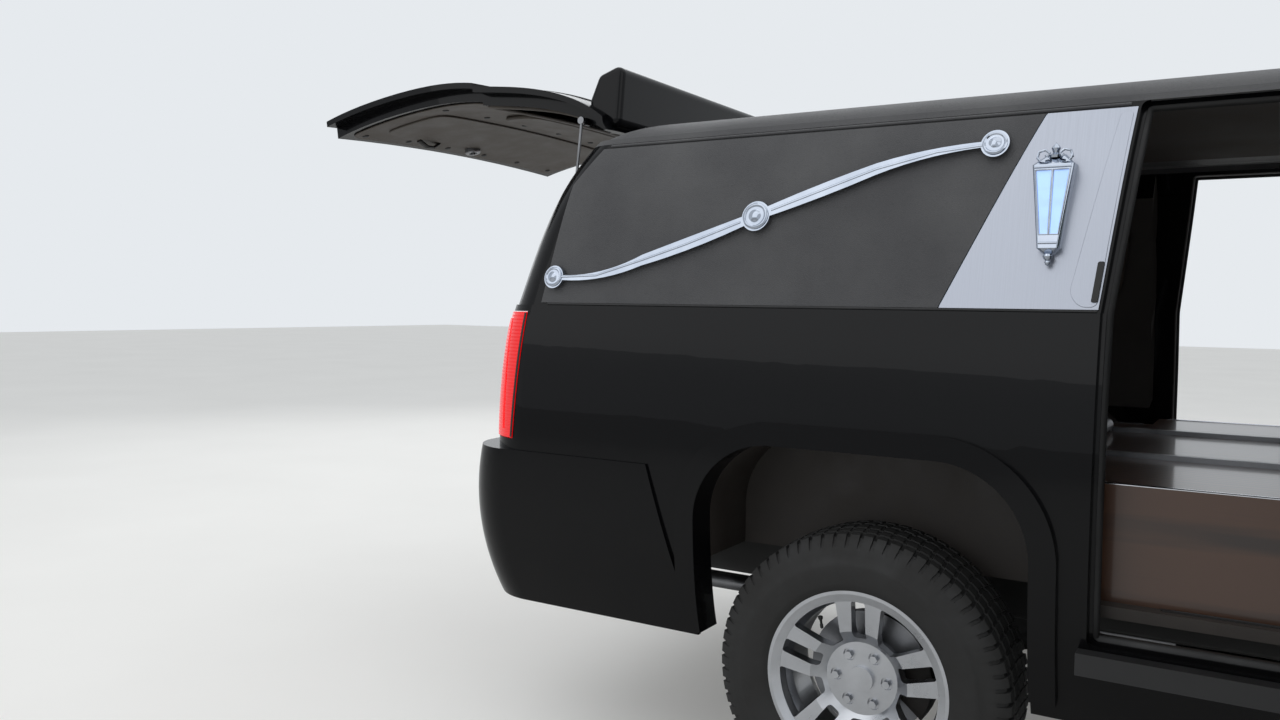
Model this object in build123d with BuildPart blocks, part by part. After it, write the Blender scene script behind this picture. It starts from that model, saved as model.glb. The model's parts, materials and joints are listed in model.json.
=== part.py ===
from build123d import *
from functools import cache
from math import hypot
import os

os.makedirs("parts", exist_ok=True)

# Millimetres. While it is modelled, x runs forward from the rear axle, y to the left, z up from the
# ground; at the end every piece is moved along x so that the parked car is centred on the origin.

# Running gear
wheelbase = 3302
wheel_y = 872               # half track, to the middle of the tyre
tyre_radius = 401
tyre_width = 265
rim_radius = 229            # bead seat
rim_width = 232
spindle_radius = 32
running_fit = 0.06          # radial clearance of a shaft in its bore
kingpin_y = 790
kingpin_half = 16           # half width of the knuckle's upright
kingpin_radius = 12
kingpin_reach = 40          # of each pin into the knuckle
hub_length = 45
lug_circle = 139.7 / 2
lug_count = 6

# Body heights and thicknesses
sill_z = 400
belt_z = 1385
roof_z = 1990
floor_z = 660
floor_thickness = 30
deck_z = 975
skin = 20                   # outer panels
wall = 85                   # whole side, skin to inner trim
roof_thickness = 45
roof_seam_z = 1893
panel_gap = 5               # shut line of doors, lids and lamps
seat_gap = 0.3              # glass, trim and bolted pieces in their seats
beyond = 6000               # how far a cutting block reaches past the body

# Plan rows of the body, evenly spaced in height: height, half width, distance behind the rear axle,
# distance ahead of the front axle, rear corner radius, front corner radius
lower_rows = [
    (400, 925, 1225, 818, 150, 240),
    (646, 986, 1296, 885, 170, 300),
    (892, 1000, 1312, 913, 180, 330),
    (1139, 991, 1304, 895, 170, 330),
    (belt_z, 955, 1262, 830, 140, 300),
]
upper_rows = [
    (belt_z, 950, 1250, -542, 125, 80),
    (1560, 911, 1206, -757, 125, 80),
    (1735, 865, 1145, -972, 120, 80),
    (1910, 795, 1038, -1190, 110, 80),
]
roof_rows = [
    (roof_seam_z, 803, 1048, -1169, 112, 80),
    (1926, 778, 985, -1236, 105, 80),
    (1958, 705, 890, -1345, 95, 80),
    (roof_z, 440, 640, -1660, 60, 60),
]
bows = {"lower": (40, 110), "upper": (40, 120), "roof": (40, 120)}  # rise of the rear and front arcs

# Doors
door_bottom_z = 610
door_top_z = 1888
rear_door_x = 563           # rear edge of the rear door, at the sill
rear_door_lean = 55         # how far that edge leans forward at the top
quarter_front_x = 500       # seam between the rear quarters and the door frames
pillar_x = wheelbase - 1707  # middle of the centre pillar
front_door_x = wheelbase - 660
screen_foot_x = wheelbase - 712
screen_top_x = wheelbase - 1337
door_step = 30              # inner box of a door inside its skin
jamb_step = 6
hinge_y = 1006              # door hinges, just outside the widest skin
hinge_heights = (800, 985)
hinge_radius = 6
hinge_pin = 3
lug_half = 15               # half height of the body's hinge lug
ear_height = 18             # of the door's ears above and below it
door_open = 68              # degrees, rear doors as parked and front doors at their limit
window_foot_z = belt_z + 20
window_top_z = 1828
window_rail = 75            # frame between a door's edge and its glass
glass_thickness = 6
glass_depth = 26            # of the door panes behind the skin
door_corner = 14

# Liftgate
gate_hinge_x = -940
gate_hinge_z = 1950
gate_half = 735
gate_foot_z = 640
gate_depth = 60
gate_open = 81.5            # degrees, as parked
strut_y = 715
strut_foot = (-1135, 1480)
strut_head_open = (-1082, 1996)
strut_radius = 11
strut_rod_radius = 5
strut_eye_radius = 13
strut_eye_width = 14
strut_stud_radius = 5
gate_hinge_y = 500
gate_hinge_width = 20
gate_hinge_radius = 8
gate_pin_radius = 4

# Front end
hood_rear_x = wheelbase - 505
hood_front_x = wheelbase + 700
hood_half = 790
hood_hinge_x = hood_rear_x + 6
hood_hinge_z = 1376
hood_hinge_y = 240
hood_hinge_width = 16
hood_hinge_radius = 7
hood_pin_radius = 3.5
bumper_top_z = 840
grille_half = 470

# Arches: axle x, opening behind the axle, opening ahead of it
arch_rows = [(0, 475, 430), (wheelbase, 480, 480)]
arch_top_z = 1015
arch_corner = 230
housing_y = 660             # inner wall of the rear wheel housings
liner_y = 505               # inner wall of the front liners
liner_thickness = 14
flare_width = 62
flare_height = 20


def loft_rows(rows, kind, inset):
    # The closed form through a table's rows, drawn in by inset; roof rows sink by the roof's share
    rear_bow, front_bow = bows[kind]
    sink = inset * roof_thickness / wall if kind == "roof" else 0
    with BuildPart() as form:
        for z, half, rear, front, rear_corner, front_corner in rows:
            half = half - inset
            rear = -rear + inset
            front = wheelbase + front - inset
            with BuildSketch(Plane.XY.offset(z - sink)):
                with BuildLine():
                    Line((rear + rear_bow, -half), (front - front_bow, -half))
                    ThreePointArc((front - front_bow, -half), (front, 0), (front - front_bow, half))
                    Line((front - front_bow, half), (rear + rear_bow, half))
                    ThreePointArc((rear + rear_bow, half), (rear, 0), (rear + rear_bow, -half))
                make_face()
                fillet(vertices().group_by(Axis.X)[0], rear_corner - inset * 0.4)
                fillet(vertices().group_by(Axis.X)[-1], front_corner - inset * 0.4)
        loft()
        split(bisect_by=Plane.XZ, keep=Keep.TOP)
    return form.part


@cache
def half_form(inset):
    # Right-hand half of the closed body, drawn in by inset on every side
    return [
        loft_rows(lower_rows, "lower", inset),
        loft_rows(upper_rows, "upper", inset),
        loft_rows(roof_rows, "roof", inset),
    ]


@cache
def whole(inset):
    # Right-hand half of the whole closed body
    with BuildPart() as form:
        for piece in half_form(inset):
            add(piece)
    return form.part


def side_block(points, near, far, corner=0, grow=0):
    # A right-hand block whose outline is seen from the side, between two distances from the middle
    with BuildPart() as block:
        with BuildSketch(Plane.XZ.offset(near)) as outline:
            with BuildLine():
                Polyline(*points, close=True)
            make_face()
            if corner:
                fillet(outline.vertices(), corner)
            if grow:
                offset(amount=grow, kind=Kind.INTERSECTION)
        extrude(amount=far - near)
    return block.part


def end_block(points, x_from, x_to, corner=0, grow=0):
    # A block whose outline is seen from the front or the back
    with BuildPart() as block:
        with BuildSketch(Plane.YZ.offset(x_from)) as outline:
            with BuildLine():
                Polyline(*points, close=True)
            make_face()
            if corner:
                fillet(outline.vertices(), corner)
            if grow:
                offset(amount=grow, kind=Kind.INTERSECTION)
        extrude(amount=x_to - x_from)
    return block.part


def plan_block(points, z_from, z_to, corner=0, grow=0):
    # A block whose outline is seen from above
    with BuildPart() as block:
        with BuildSketch(Plane.XY.offset(z_from)) as outline:
            with BuildLine():
                Polyline(*points, close=True)
            make_face()
            if corner:
                fillet(outline.vertices(), corner)
            if grow:
                offset(amount=grow, kind=Kind.INTERSECTION)
        extrude(amount=z_to - z_from)
    return block.part


def panel(block, outer, inner, form=whole):
    # What a block cuts out of the layer between two insets of the body
    with BuildPart() as piece:
        add(block)
        add(form(outer), mode=Mode.INTERSECT)
        add(form(inner), mode=Mode.SUBTRACT)
    return piece.part


def pair(piece):
    # A right-hand piece with its left-hand mirror image
    with BuildPart() as both:
        add(piece)
        mirror(about=Plane.XZ)
    return both.part


def box(x_from, x_to, y_from, y_to, z_from, z_to):
    # A plain block between six planes
    with BuildPart() as block:
        with BuildSketch(Plane.XY.offset(z_from)):
            with Locations(((x_from + x_to) / 2, (y_from + y_to) / 2)):
                Rectangle(x_to - x_from, y_to - y_from)
        extrude(amount=z_to - z_from)
    return block.part


def crossbar(at, y_from, y_to, radius):
    # A round bar along y on the right, at a point seen from the side
    with BuildPart() as bar:
        with BuildSketch(Plane.XZ.offset(y_from)):
            with Locations(at):
                Circle(radius)
        extrude(amount=y_to - y_from)
    return bar.part


def upright(at, z_from, z_to, radius):
    # A round bar along z, at a point seen from above
    with BuildPart() as bar:
        with BuildSketch(Plane.XY.offset(z_from)):
            with Locations(at):
                Circle(radius)
        extrude(amount=z_to - z_from)
    return bar.part


def hinge_lugs(x, plate_from, plate_to, reach):
    # Body half of a door's two hinges: an eye on a plate that comes out through the shut line
    with BuildPart() as lugs:
        for z in hinge_heights:
            low = z - lug_half
            high = z + lug_half
            add(upright((x, -hinge_y), low, high, hinge_radius))
            add(box(x + plate_from, x + plate_to, -hinge_y, -hinge_y + reach, low, high))
            add(upright((x, -hinge_y), low, high, hinge_pin + running_fit), mode=Mode.SUBTRACT)
    return lugs.part


def hinge_ears(x):
    # Door half: ears above and below each lug, webs to the skin and the pin between them
    with BuildPart() as ears:
        for z in hinge_heights:
            for ear_z in (z - lug_half - seat_gap - ear_height, z + lug_half + seat_gap):
                add(upright((x, -hinge_y), ear_z, ear_z + ear_height, hinge_radius))
                add(box(x - hinge_radius, x, -hinge_y, -hinge_y + skin, ear_z, ear_z + ear_height))
            add(upright((x, -hinge_y), z - lug_half - ear_height, z + lug_half + ear_height, hinge_pin))
    return ears.part


# Door outlines, seen from the side
rear_door_points = [
    (rear_door_x, door_bottom_z),
    (rear_door_x, belt_z),
    (rear_door_x + rear_door_lean, door_top_z),
    (pillar_x - panel_gap, door_top_z),
    (pillar_x - panel_gap, door_bottom_z),
]
front_door_points = [
    (pillar_x + panel_gap, door_bottom_z),
    (pillar_x + panel_gap, door_top_z),
    (screen_top_x, door_top_z),
    (screen_foot_x, belt_z),
    (front_door_x, belt_z - 60),
    (front_door_x, door_bottom_z),
]
rear_window_points = [
    (rear_door_x + window_rail + 10, window_foot_z),
    (rear_door_x + window_rail + rear_door_lean, window_top_z),
    (pillar_x - panel_gap - window_rail, window_top_z),
    (pillar_x - panel_gap - window_rail, window_foot_z),
]
front_window_points = [
    (pillar_x + panel_gap + window_rail, window_foot_z),
    (pillar_x + panel_gap + window_rail, window_top_z),
    (screen_top_x - 15, window_top_z),
    (screen_foot_x - 165, window_foot_z + 50),
    (screen_foot_x - 165, window_foot_z),
]


def arch_block(arch, near, far=1200, grow=0):
    # A wheel opening as a block, square below and rounded at its two upper corners
    axle_x, behind, ahead = arch
    with BuildPart() as block:
        with BuildSketch(Plane.XZ.offset(near)) as outline:
            with BuildLine():
                Polyline(
                    (axle_x - behind, 200), (axle_x - behind, arch_top_z),
                    (axle_x + ahead, arch_top_z), (axle_x + ahead, 200), close=True,
                )
            make_face()
            fillet(outline.vertices().group_by(Axis.Y)[-1], arch_corner)
            if grow:
                offset(amount=grow, kind=Kind.INTERSECTION)
        extrude(amount=far - near)
    return block.part


# Bumper corner on the rear: its front edge slopes from the wheel arch up to the tail lamp
rear_bumper_points = [(-484, 437), (-640, 927), (-1500, 927), (-1500, 437)]
rear_bumper_rows = [
    (437, 955, 1335, -2000, 190, 100),
    (600, 990, 1384, -2000, 190, 100),
    (764, 1006, 1400, -2000, 190, 100),
    (927, 1008, 1382, -2000, 190, 100),
]


def flare(arch):
    # Raised lip around a wheel opening
    with BuildPart() as lip:
        add(arch_block(arch, 700, grow=flare_width))
        add(arch_block(arch, 600), mode=Mode.SUBTRACT)
        add(whole(-flare_height), mode=Mode.INTERSECT)
        add(whole(skin / 2), mode=Mode.SUBTRACT)
        split(bisect_by=Plane.XY.offset(440), keep=Keep.TOP)
    return lip.part


# Hood line: station x, height at the edge (1100 from the middle) and height at the middle
hood_rows = [
    (wheelbase - 702, 1290, 1398),
    (wheelbase - 85, 1272, 1378),
    (wheelbase + 532, 1215, 1322),
    (wheelbase + 1150, 905, 1010),
]


def above_hood(inset):
    # Everything over the hood line
    edge_y = 1100
    top_z = 1800
    with BuildPart() as above:
        for x, edge_z, middle_z in hood_rows:
            right = (-edge_y, edge_z - inset)
            left = (edge_y, edge_z - inset)
            with BuildSketch(Plane.YZ.offset(x)):
                with BuildLine():
                    ThreePointArc(right, (0, middle_z - inset), left)
                    Polyline(left, (edge_y, top_z), (-edge_y, top_z), right)
                make_face()
        loft()
    return above.part


@cache
def front_form(inset):
    # Right-hand half of the closed front end, from the front doors to the nose
    with BuildPart() as form:
        add(half_form(inset)[0])
        add(above_hood(inset), mode=Mode.SUBTRACT)
        split(bisect_by=Plane.YZ.offset(front_door_x + panel_gap), keep=Keep.TOP)
    return form.part


# Tail lamp on each rear corner
tail_foot_z = 446
lamp_points = [(-1400, 961), (-1400, 1365), (-1112, 1365), (-1142, 961)]
lamp_depth = 45
# Windscreen opening, seen from the front
screen_top_z = 1868
screen_top_half = 655
screen_foot_half = 770
screen_points = [
    (-screen_foot_half, belt_z - 20), (-screen_top_half, screen_top_z),
    (screen_top_half, screen_top_z), (screen_foot_half, belt_z - 20),
]
gate_points = [
    (-1500, gate_foot_z), (-1500, 2150), (gate_hinge_x - 10, 2150), (gate_hinge_x - 10, 1800), (-1060, 1500),
    (-1060, gate_foot_z),
]

gate_axis = (gate_hinge_x, gate_hinge_z)
gate_lug_end = gate_hinge_y + gate_hinge_width

with BuildPart() as rear_flare:
    add(flare(arch_rows[0]))
    add(side_block(rear_bumper_points, 0, 1200, 0, 2), mode=Mode.SUBTRACT)

# Right-hand side of the body in one piece, before it is divided at its seams
with BuildPart() as body_side:
    add(whole(0))
    add(whole(wall), mode=Mode.SUBTRACT)
    split(bisect_by=Plane.XY.offset(roof_seam_z), keep=Keep.BOTTOM)
    add(box(front_door_x + panel_gap, 4500, -1200, 1, 300, belt_z), mode=Mode.SUBTRACT)
    for points in (rear_door_points, front_door_points):
        add(side_block(points, 500, 1200, door_corner, -jamb_step), mode=Mode.SUBTRACT)
        add(panel(side_block(points, 500, 1200, door_corner, panel_gap), -10, skin + 2), mode=Mode.SUBTRACT)
    add(side_block(gate_points, 0, gate_half + panel_gap, 0, panel_gap), mode=Mode.SUBTRACT)
    add(panel(side_block(lamp_points, gate_half + panel_gap, 1200), -10, lamp_depth + 1), mode=Mode.SUBTRACT)
    add(arch_block(arch_rows[0], 500), mode=Mode.SUBTRACT)
    add(end_block(screen_points, wheelbase - 1500, wheelbase - 300, 60), mode=Mode.SUBTRACT)
    add(rear_flare.part)
    add(box(-beyond, -400, -beyond, 1, 0, tail_foot_z), mode=Mode.SUBTRACT)

under_gate = box(-beyond, -1000, -gate_half - panel_gap, 1, 0, gate_foot_z)
screen_header = box(1500, 2500, -screen_top_half, 1, screen_top_z, roof_seam_z)

with BuildPart() as rear_quarter:
    add(body_side.part)
    split(bisect_by=Plane.YZ.offset(quarter_front_x), keep=Keep.BOTTOM)
    add(under_gate, mode=Mode.SUBTRACT)
    add(crossbar(strut_foot, strut_y - strut_eye_width / 2, gate_half + 25, strut_stud_radius))
rear_quarters = pair(rear_quarter.part)

with BuildPart() as rear_panel_half:
    add(body_side.part)
    add(under_gate, mode=Mode.INTERSECT)
rear_panel = pair(rear_panel_half.part)

with BuildPart() as door_frame:
    add(body_side.part)
    split(bisect_by=Plane.YZ.offset(quarter_front_x), keep=Keep.TOP)
    add(screen_header, mode=Mode.SUBTRACT)
    add(hinge_lugs(pillar_x - panel_gap, 1.5, 4.5, 60))
door_frames = pair(door_frame.part)

with BuildPart() as header_half:
    add(body_side.part)
    add(screen_header, mode=Mode.INTERSECT)

with BuildPart() as roof_half:
    add(whole(0))
    add(whole(wall), mode=Mode.SUBTRACT)
    split(bisect_by=Plane.XY.offset(roof_seam_z), keep=Keep.TOP)
    add(header_half.part)
    add(side_block(gate_points, -10, gate_half + panel_gap, 0, panel_gap), mode=Mode.SUBTRACT)
    add(crossbar(gate_axis, gate_hinge_y, gate_lug_end, gate_hinge_radius))
    add(box(gate_hinge_x, gate_hinge_x + 25, -gate_lug_end, -gate_hinge_y, gate_hinge_z - 45, gate_hinge_z))
    add(crossbar(gate_axis, gate_hinge_y, gate_lug_end, gate_pin_radius + running_fit), mode=Mode.SUBTRACT)
roof = pair(roof_half.part)

tail_lamps = pair(panel(side_block(lamp_points, gate_half + panel_gap, 1200, 0, -3), -3, lamp_depth))
windscreen = pair(panel(end_block(screen_points, wheelbase - 1500, wheelbase - 300, 60, -seat_gap), 4, 10))

landau_points = [(-1064, 1393), (-1013, 1767), (-925, 1878), (398, 1878), (179, 1393)]
steel_points = [(183, 1393), (402, 1878), (606, 1878), (553, 1393)]
landau_panels = pair(panel(side_block(landau_points, 500, 1200), -4, 0))
steel_panels = pair(panel(side_block(steel_points, 500, 1200), -5, 0))


# Front end: thin fenders with the nose panel, hood, bumper, grille and headlamps
hood_points = [
    (hood_rear_x, -hood_half), (hood_rear_x, hood_half), (wheelbase + 480, hood_half - 60),
    (hood_front_x, hood_half - 190), (hood_front_x, -hood_half + 190), (wheelbase + 480, -hood_half + 60),
]
grille_top_z = 1185
grille_foot_z = 870
grille_points = [
    (-grille_half, grille_top_z), (-grille_half + 30, grille_foot_z),
    (grille_half - 30, grille_foot_z), (grille_half, grille_top_z),
]
headlamp_points = [(-1100, 1188), (-1100, 1005), (-grille_half - 30, 955), (-grille_half - 15, 1188)]
front_bumper_rows = [
    (330, 940, 0, 905, 190, 300),
    (500, 985, 0, 968, 190, 320),
    (670, 1002, 0, 990, 190, 330),
    (bumper_top_z, 1006, 0, 975, 190, 330),
]
bumper_front_x = wheelbase + 499
nose_cut_x = wheelbase + 700
bumper_thickness = 40


@cache
def bumper_form(inset):
    # Right-hand half of the closed front bumper
    rows = [(z - (inset if z == bumper_top_z else 0), *row) for z, *row in front_bumper_rows]
    return loft_rows(rows, "lower", inset)


cowl_half = hood_half - 20

with BuildPart() as front_flare:
    add(flare(arch_rows[1]))
    split(bisect_by=Plane.YZ.offset(front_door_x + panel_gap), keep=Keep.TOP)

with BuildPart() as front_fender:
    add(front_form(0))
    add(front_form(skin), mode=Mode.SUBTRACT)
    add(plan_block(hood_points, 1100, 1600, 0, panel_gap), mode=Mode.SUBTRACT)
    add(box(front_door_x, hood_rear_x + 1, -cowl_half - panel_gap, 1, 1100, 1600), mode=Mode.SUBTRACT)
    add(end_block(grille_points, nose_cut_x, beyond), mode=Mode.SUBTRACT)
    add(panel(end_block(headlamp_points, nose_cut_x - 60, beyond), -10, 62, front_form), mode=Mode.SUBTRACT)
    add(arch_block(arch_rows[1], 500), mode=Mode.SUBTRACT)
    add(front_flare.part)
    add(box(bumper_front_x - seat_gap, beyond, -1200, 1, 300, bumper_top_z + seat_gap), mode=Mode.SUBTRACT)
    add(hinge_lugs(front_door_x, 1.5, 14, 28))

# Liner over each front wheel, open at the side and where the arms pass
with BuildPart() as front_liner:
    add(arch_block(arch_rows[1], liner_y, 1000, liner_thickness))
    add(arch_block(arch_rows[1], liner_y + liner_thickness, 1000), mode=Mode.SUBTRACT)
    add(front_form(skin + seat_gap), mode=Mode.INTERSECT)
    split(bisect_by=Plane.XY.offset(480), keep=Keep.TOP)
    add(box(wheelbase - 130, wheelbase + 130, -560, -480, 400, 620), mode=Mode.SUBTRACT)
with BuildPart() as front_fenders:
    add(pair(front_fender.part))
    add(pair(front_liner.part))

hood_hinge = (hood_hinge_x, hood_hinge_z)
hood_lug_end = hood_hinge_y + hood_hinge_width
with BuildPart() as hood_half_part:
    add(panel(plan_block(hood_points, 1100, 1600), 0, skin, front_form))
    add(crossbar(hood_hinge, hood_hinge_y - 1, hood_lug_end + 1, hood_hinge_radius + 2), mode=Mode.SUBTRACT)
    add(box(hood_rear_x - 1, hood_hinge_x, -hood_lug_end - 1, 1 - hood_hinge_y, 1300, 1500),
        mode=Mode.SUBTRACT)
    add(crossbar(hood_hinge, hood_hinge_y - 10, hood_hinge_y - seat_gap, hood_hinge_radius - 1))
    add(crossbar(hood_hinge, hood_lug_end + seat_gap, hood_lug_end + 10, hood_hinge_radius - 1))
    add(crossbar(hood_hinge, hood_hinge_y - 5, hood_lug_end + 5, hood_pin_radius))
hood = pair(hood_half_part.part)
headlamps = pair(panel(end_block(headlamp_points, nose_cut_x - 60, beyond, 0, -3), -2, 60, front_form))

intake_points = [(-520, 430), (-560, 590), (560, 590), (520, 430)]
with BuildPart() as front_bumper_half:
    add(bumper_form(0))
    add(bumper_form(bumper_thickness), mode=Mode.SUBTRACT)
    split(bisect_by=Plane.YZ.offset(bumper_front_x), keep=Keep.TOP)
    add(end_block(intake_points, wheelbase + 800, beyond), mode=Mode.SUBTRACT)
front_bumper = pair(front_bumper_half.part)

# Grille: a frame with level bars
bar_count = 7
bar_height = 14
grille_rim = 26
bar_pitch = (grille_top_z - grille_foot_z - 2 * grille_rim + bar_height) / (bar_count + 1)
with BuildPart() as mouth:
    add(end_block(grille_points, nose_cut_x, beyond, 0, -grille_rim))
    for bar in range(bar_count):
        bar_z = grille_foot_z + grille_rim - bar_height + (bar + 1) * bar_pitch
        add(box(nose_cut_x - 100, beyond, -600, 600, bar_z, bar_z + bar_height), mode=Mode.SUBTRACT)
with BuildPart() as grille_half_part:
    add(panel(end_block(grille_points, nose_cut_x, beyond, 0, -seat_gap), -8, skin, front_form))
    add(mouth.part, mode=Mode.SUBTRACT)
grille = pair(grille_half_part.part)

# Rear bumper
with BuildPart() as rear_bumper_half:
    add(side_block(rear_bumper_points, 0, 1200))
    add(loft_rows(rear_bumper_rows, "lower", 0), mode=Mode.INTERSECT)
    add(whole(-seat_gap), mode=Mode.SUBTRACT)
    add(box(-1600, -1000, -gate_half - 10, 1, gate_foot_z - 10, 1000), mode=Mode.SUBTRACT)
    add(arch_block(arch_rows[0], 500), mode=Mode.SUBTRACT)
rear_bumper = pair(rear_bumper_half.part)

# Floor with the rear wheel housings, firewall and seat bases
cowl_top_z = belt_z - 0.5
cowl_lip_x = wheelbase - 530
cowl_lip_z = 1375
cowl_foot_z = 1355
firewall_x = front_door_x + 40
firewall_shoulder_z = 1280   # its top beside the cowl
floor_top_z = floor_z + floor_thickness
seat_base_z = 892
with BuildPart() as floor_half:
    add(box(-1300, firewall_x, -1000, 1, floor_z, floor_top_z))
    add(arch_block(arch_rows[0], housing_y, 1000, liner_thickness))
    split(bisect_by=Plane.XY.offset(floor_z), keep=Keep.TOP)
    add(arch_block(arch_rows[0], housing_y + liner_thickness, 1000), mode=Mode.SUBTRACT)
    add(box(front_door_x, firewall_x, -860, 1, floor_z, firewall_shoulder_z))
    add(box(front_door_x, firewall_x, -cowl_half, 1, floor_z, cowl_foot_z))
    add(box(1760, 2180, -660, -240, floor_top_z - 1, seat_base_z))
    add(whole(wall + seat_gap), mode=Mode.INTERSECT)
floor_tub = pair(floor_half.part)

# Cowl over the firewall, with the hood's hinge lugs
with BuildPart() as cowl_half_part:
    add(box(front_door_x + 10, cowl_lip_x, -cowl_half, 1, cowl_foot_z, cowl_top_z))
    add(box(cowl_lip_x, hood_rear_x - panel_gap, -cowl_half, 1, cowl_lip_z - 40, cowl_lip_z))
    add(box(hood_rear_x - 20, hood_hinge_x, -hood_lug_end, -hood_hinge_y, hood_hinge_z - 7, cowl_lip_z))
    add(crossbar(hood_hinge, hood_hinge_y, hood_lug_end, hood_hinge_radius))
    add(crossbar(hood_hinge, hood_hinge_y, hood_lug_end, hood_pin_radius + running_fit), mode=Mode.SUBTRACT)
cowl = pair(cowl_half_part.part)


def door_leaf(points, window_points):
    # A door as thick as the body side, stepped round its edge
    with BuildPart() as leaf:
        add(panel(side_block(points, 500, 1200, door_corner), 0, skin))
        add(panel(side_block(points, 500, 1200, door_corner, -door_step), skin, wall))
        add(side_block(window_points, 400, 1200, door_corner), mode=Mode.SUBTRACT)
    return leaf.part


def handle(x_from, z):
    # Pull bar on two feet, its feet sunk to the skin
    with BuildPart() as bar:
        with BuildSketch(Plane.XZ.offset(1012)):
            with Locations((x_from + 105, z)):
                SlotOverall(210, 30)
        extrude(amount=16)
        with BuildSketch(Plane.XZ.offset(960)):
            with Locations((x_from + 22, z), (x_from + 188, z)):
                Circle(11)
        extrude(amount=54)
    return bar.part


handle_z = 1255
with BuildPart() as rear_door:
    add(door_leaf(rear_door_points, rear_window_points))
    add(handle(rear_door_x + 70, handle_z))
    add(hinge_ears(pillar_x - panel_gap))
with BuildPart() as front_door:
    add(door_leaf(front_door_points, front_window_points))
    add(handle(pillar_x + panel_gap + 70, handle_z))
    add(hinge_ears(front_door_x))
    with BuildSketch(Plane.XZ.offset(1000)) as mirror_outline:
        with Locations((front_door_x - 190, belt_z + 80)):
            RectangleRounded(150, 200, 45)
    extrude(amount=215, taper=6)
    with BuildSketch(Plane.XZ.offset(930)):
        with Locations((front_door_x - 190, belt_z - 20)):
            RectangleRounded(90, 60, 20)
    extrude(amount=120)


def door_glass(points):
    # The pane that sits in a door's window
    pane = side_block(points, 400, 1200, door_corner, -seat_gap)
    return panel(pane, glass_depth, glass_depth + glass_thickness)


rear_glass = door_glass(rear_window_points)
front_glass = door_glass(front_window_points)

# Liftgate, built shut and swung up about its hinge
gate_hinge = Axis((gate_hinge_x, 0, gate_hinge_z), (0, 1, 0))
gate_window_points = [(-655, 1405), (-600, 1790), (600, 1790), (655, 1405)]
spoiler_points = [
    (gate_hinge_x - 12, gate_hinge_z - 4), (gate_hinge_x - 222, 1994), (gate_hinge_x - 204, 1890),
    (gate_hinge_x - 130, 1842), (gate_hinge_x - 60, 1838),
]
spoiler_half = 700
spoiler_round = 28
gate_step = 50              # the gate's edge is thin here, so that the struts pass beside it
with BuildPart() as spoiler:
    add(side_block(spoiler_points, 0, spoiler_half, spoiler_round))
    fillet(spoiler.edges().group_by(Axis.Y)[0], spoiler_round - 8)
    add(whole(skin / 2), mode=Mode.SUBTRACT)

with BuildPart() as gate_shut:
    add(panel(side_block(gate_points, 0, gate_half), 0, gate_depth))
    add(side_block(gate_points, gate_half - gate_step, gate_half + 1), mode=Mode.SUBTRACT)
    add(panel(side_block(gate_points, gate_half - gate_step, gate_half), 0, skin))
    add(end_block(gate_window_points, -beyond, -1000, 40), mode=Mode.SUBTRACT)
    add(spoiler.part)
    for near in (gate_hinge_y - seat_gap - gate_hinge_width, gate_lug_end + seat_gap):
        far = near + gate_hinge_width
        add(crossbar(gate_axis, near, far, gate_hinge_radius))
        add(box(gate_hinge_x - 40, gate_hinge_x, -far, -near, gate_hinge_z - 11, gate_hinge_z + 2))
    add(crossbar(gate_axis, gate_hinge_y - 10, gate_lug_end + 10, gate_pin_radius))

stud_end = strut_y - strut_eye_width / 2 - seat_gap
with BuildPart() as gate_raised:
    add(gate_shut.part.rotate(gate_hinge, gate_open))
    add(crossbar(strut_head_open, gate_half - gate_step - 10, stud_end - 7, strut_eye_radius))
    add(crossbar(strut_head_open, gate_half - gate_step, stud_end, strut_stud_radius))
liftgate = pair(gate_raised.part)
gate_glass_block = end_block(gate_window_points, -beyond, -1000, 40, -seat_gap)
gate_glass = pair(panel(gate_glass_block, 3, 3 + glass_thickness)).rotate(gate_hinge, gate_open)

# Gas struts between the body and the gate: cylinder below, rod above
run_x = strut_head_open[0] - strut_foot[0]
run_z = strut_head_open[1] - strut_foot[1]
strut_length = hypot(run_x, run_z)
strut_plane = Plane(
    origin=(strut_foot[0], -strut_y, strut_foot[1]), x_dir=(0, 1, 0), z_dir=(run_x, 0, run_z)
)
cylinder_length = 300
rod_foot = 190              # from the foot stud to the rod's inner end, as parked
eye_near = strut_y - strut_eye_width / 2
eye_far = strut_y + strut_eye_width / 2
with BuildPart() as strut_cylinder:
    with BuildSketch(strut_plane.offset(18)):
        Circle(strut_radius)
        Circle(strut_rod_radius + running_fit, mode=Mode.SUBTRACT)
    extrude(amount=cylinder_length)
    with BuildSketch(strut_plane.offset(strut_eye_radius - 3)):
        Circle(strut_radius)
    extrude(amount=10)
    add(crossbar(strut_foot, eye_near, eye_far, strut_eye_radius))
    add(crossbar(strut_foot, eye_near, eye_far, strut_stud_radius + running_fit), mode=Mode.SUBTRACT)
with BuildPart() as strut_rod:
    with BuildSketch(strut_plane.offset(rod_foot)):
        Circle(strut_rod_radius)
    extrude(amount=strut_length - rod_foot - 8)
    add(crossbar(strut_head_open, eye_near, eye_far, strut_eye_radius - 1))

# Wheels
spoke_count = 5
hub_radius = 78
hub_inner = 42              # the hub's inner face, inboard of the middle of the tyre
hub_face = 60               # its outer face, outboard of it
bore_depth = 72
spindle_reach = 20          # past the middle of the tyre
brake_radius = 165
brake_thickness = 26
nut_radius = 11
nut_pocket = 17             # radius of the pocket round a nut
pocket_depth = 8
nut_height = 22             # from the pocket's floor
hub_cap_radius = 34
hub_cap_height = 12
slot_half = 19              # the slot between the two spokes of a pair
slot_from = 113
slot_to = 218
window_from = 108           # the windows between the pairs of spokes
window_to = 220
window_half = 73            # its half width at the rim
window_bulge = 13           # and its corners' distance short of its outermost point
window_corner = 9

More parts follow.
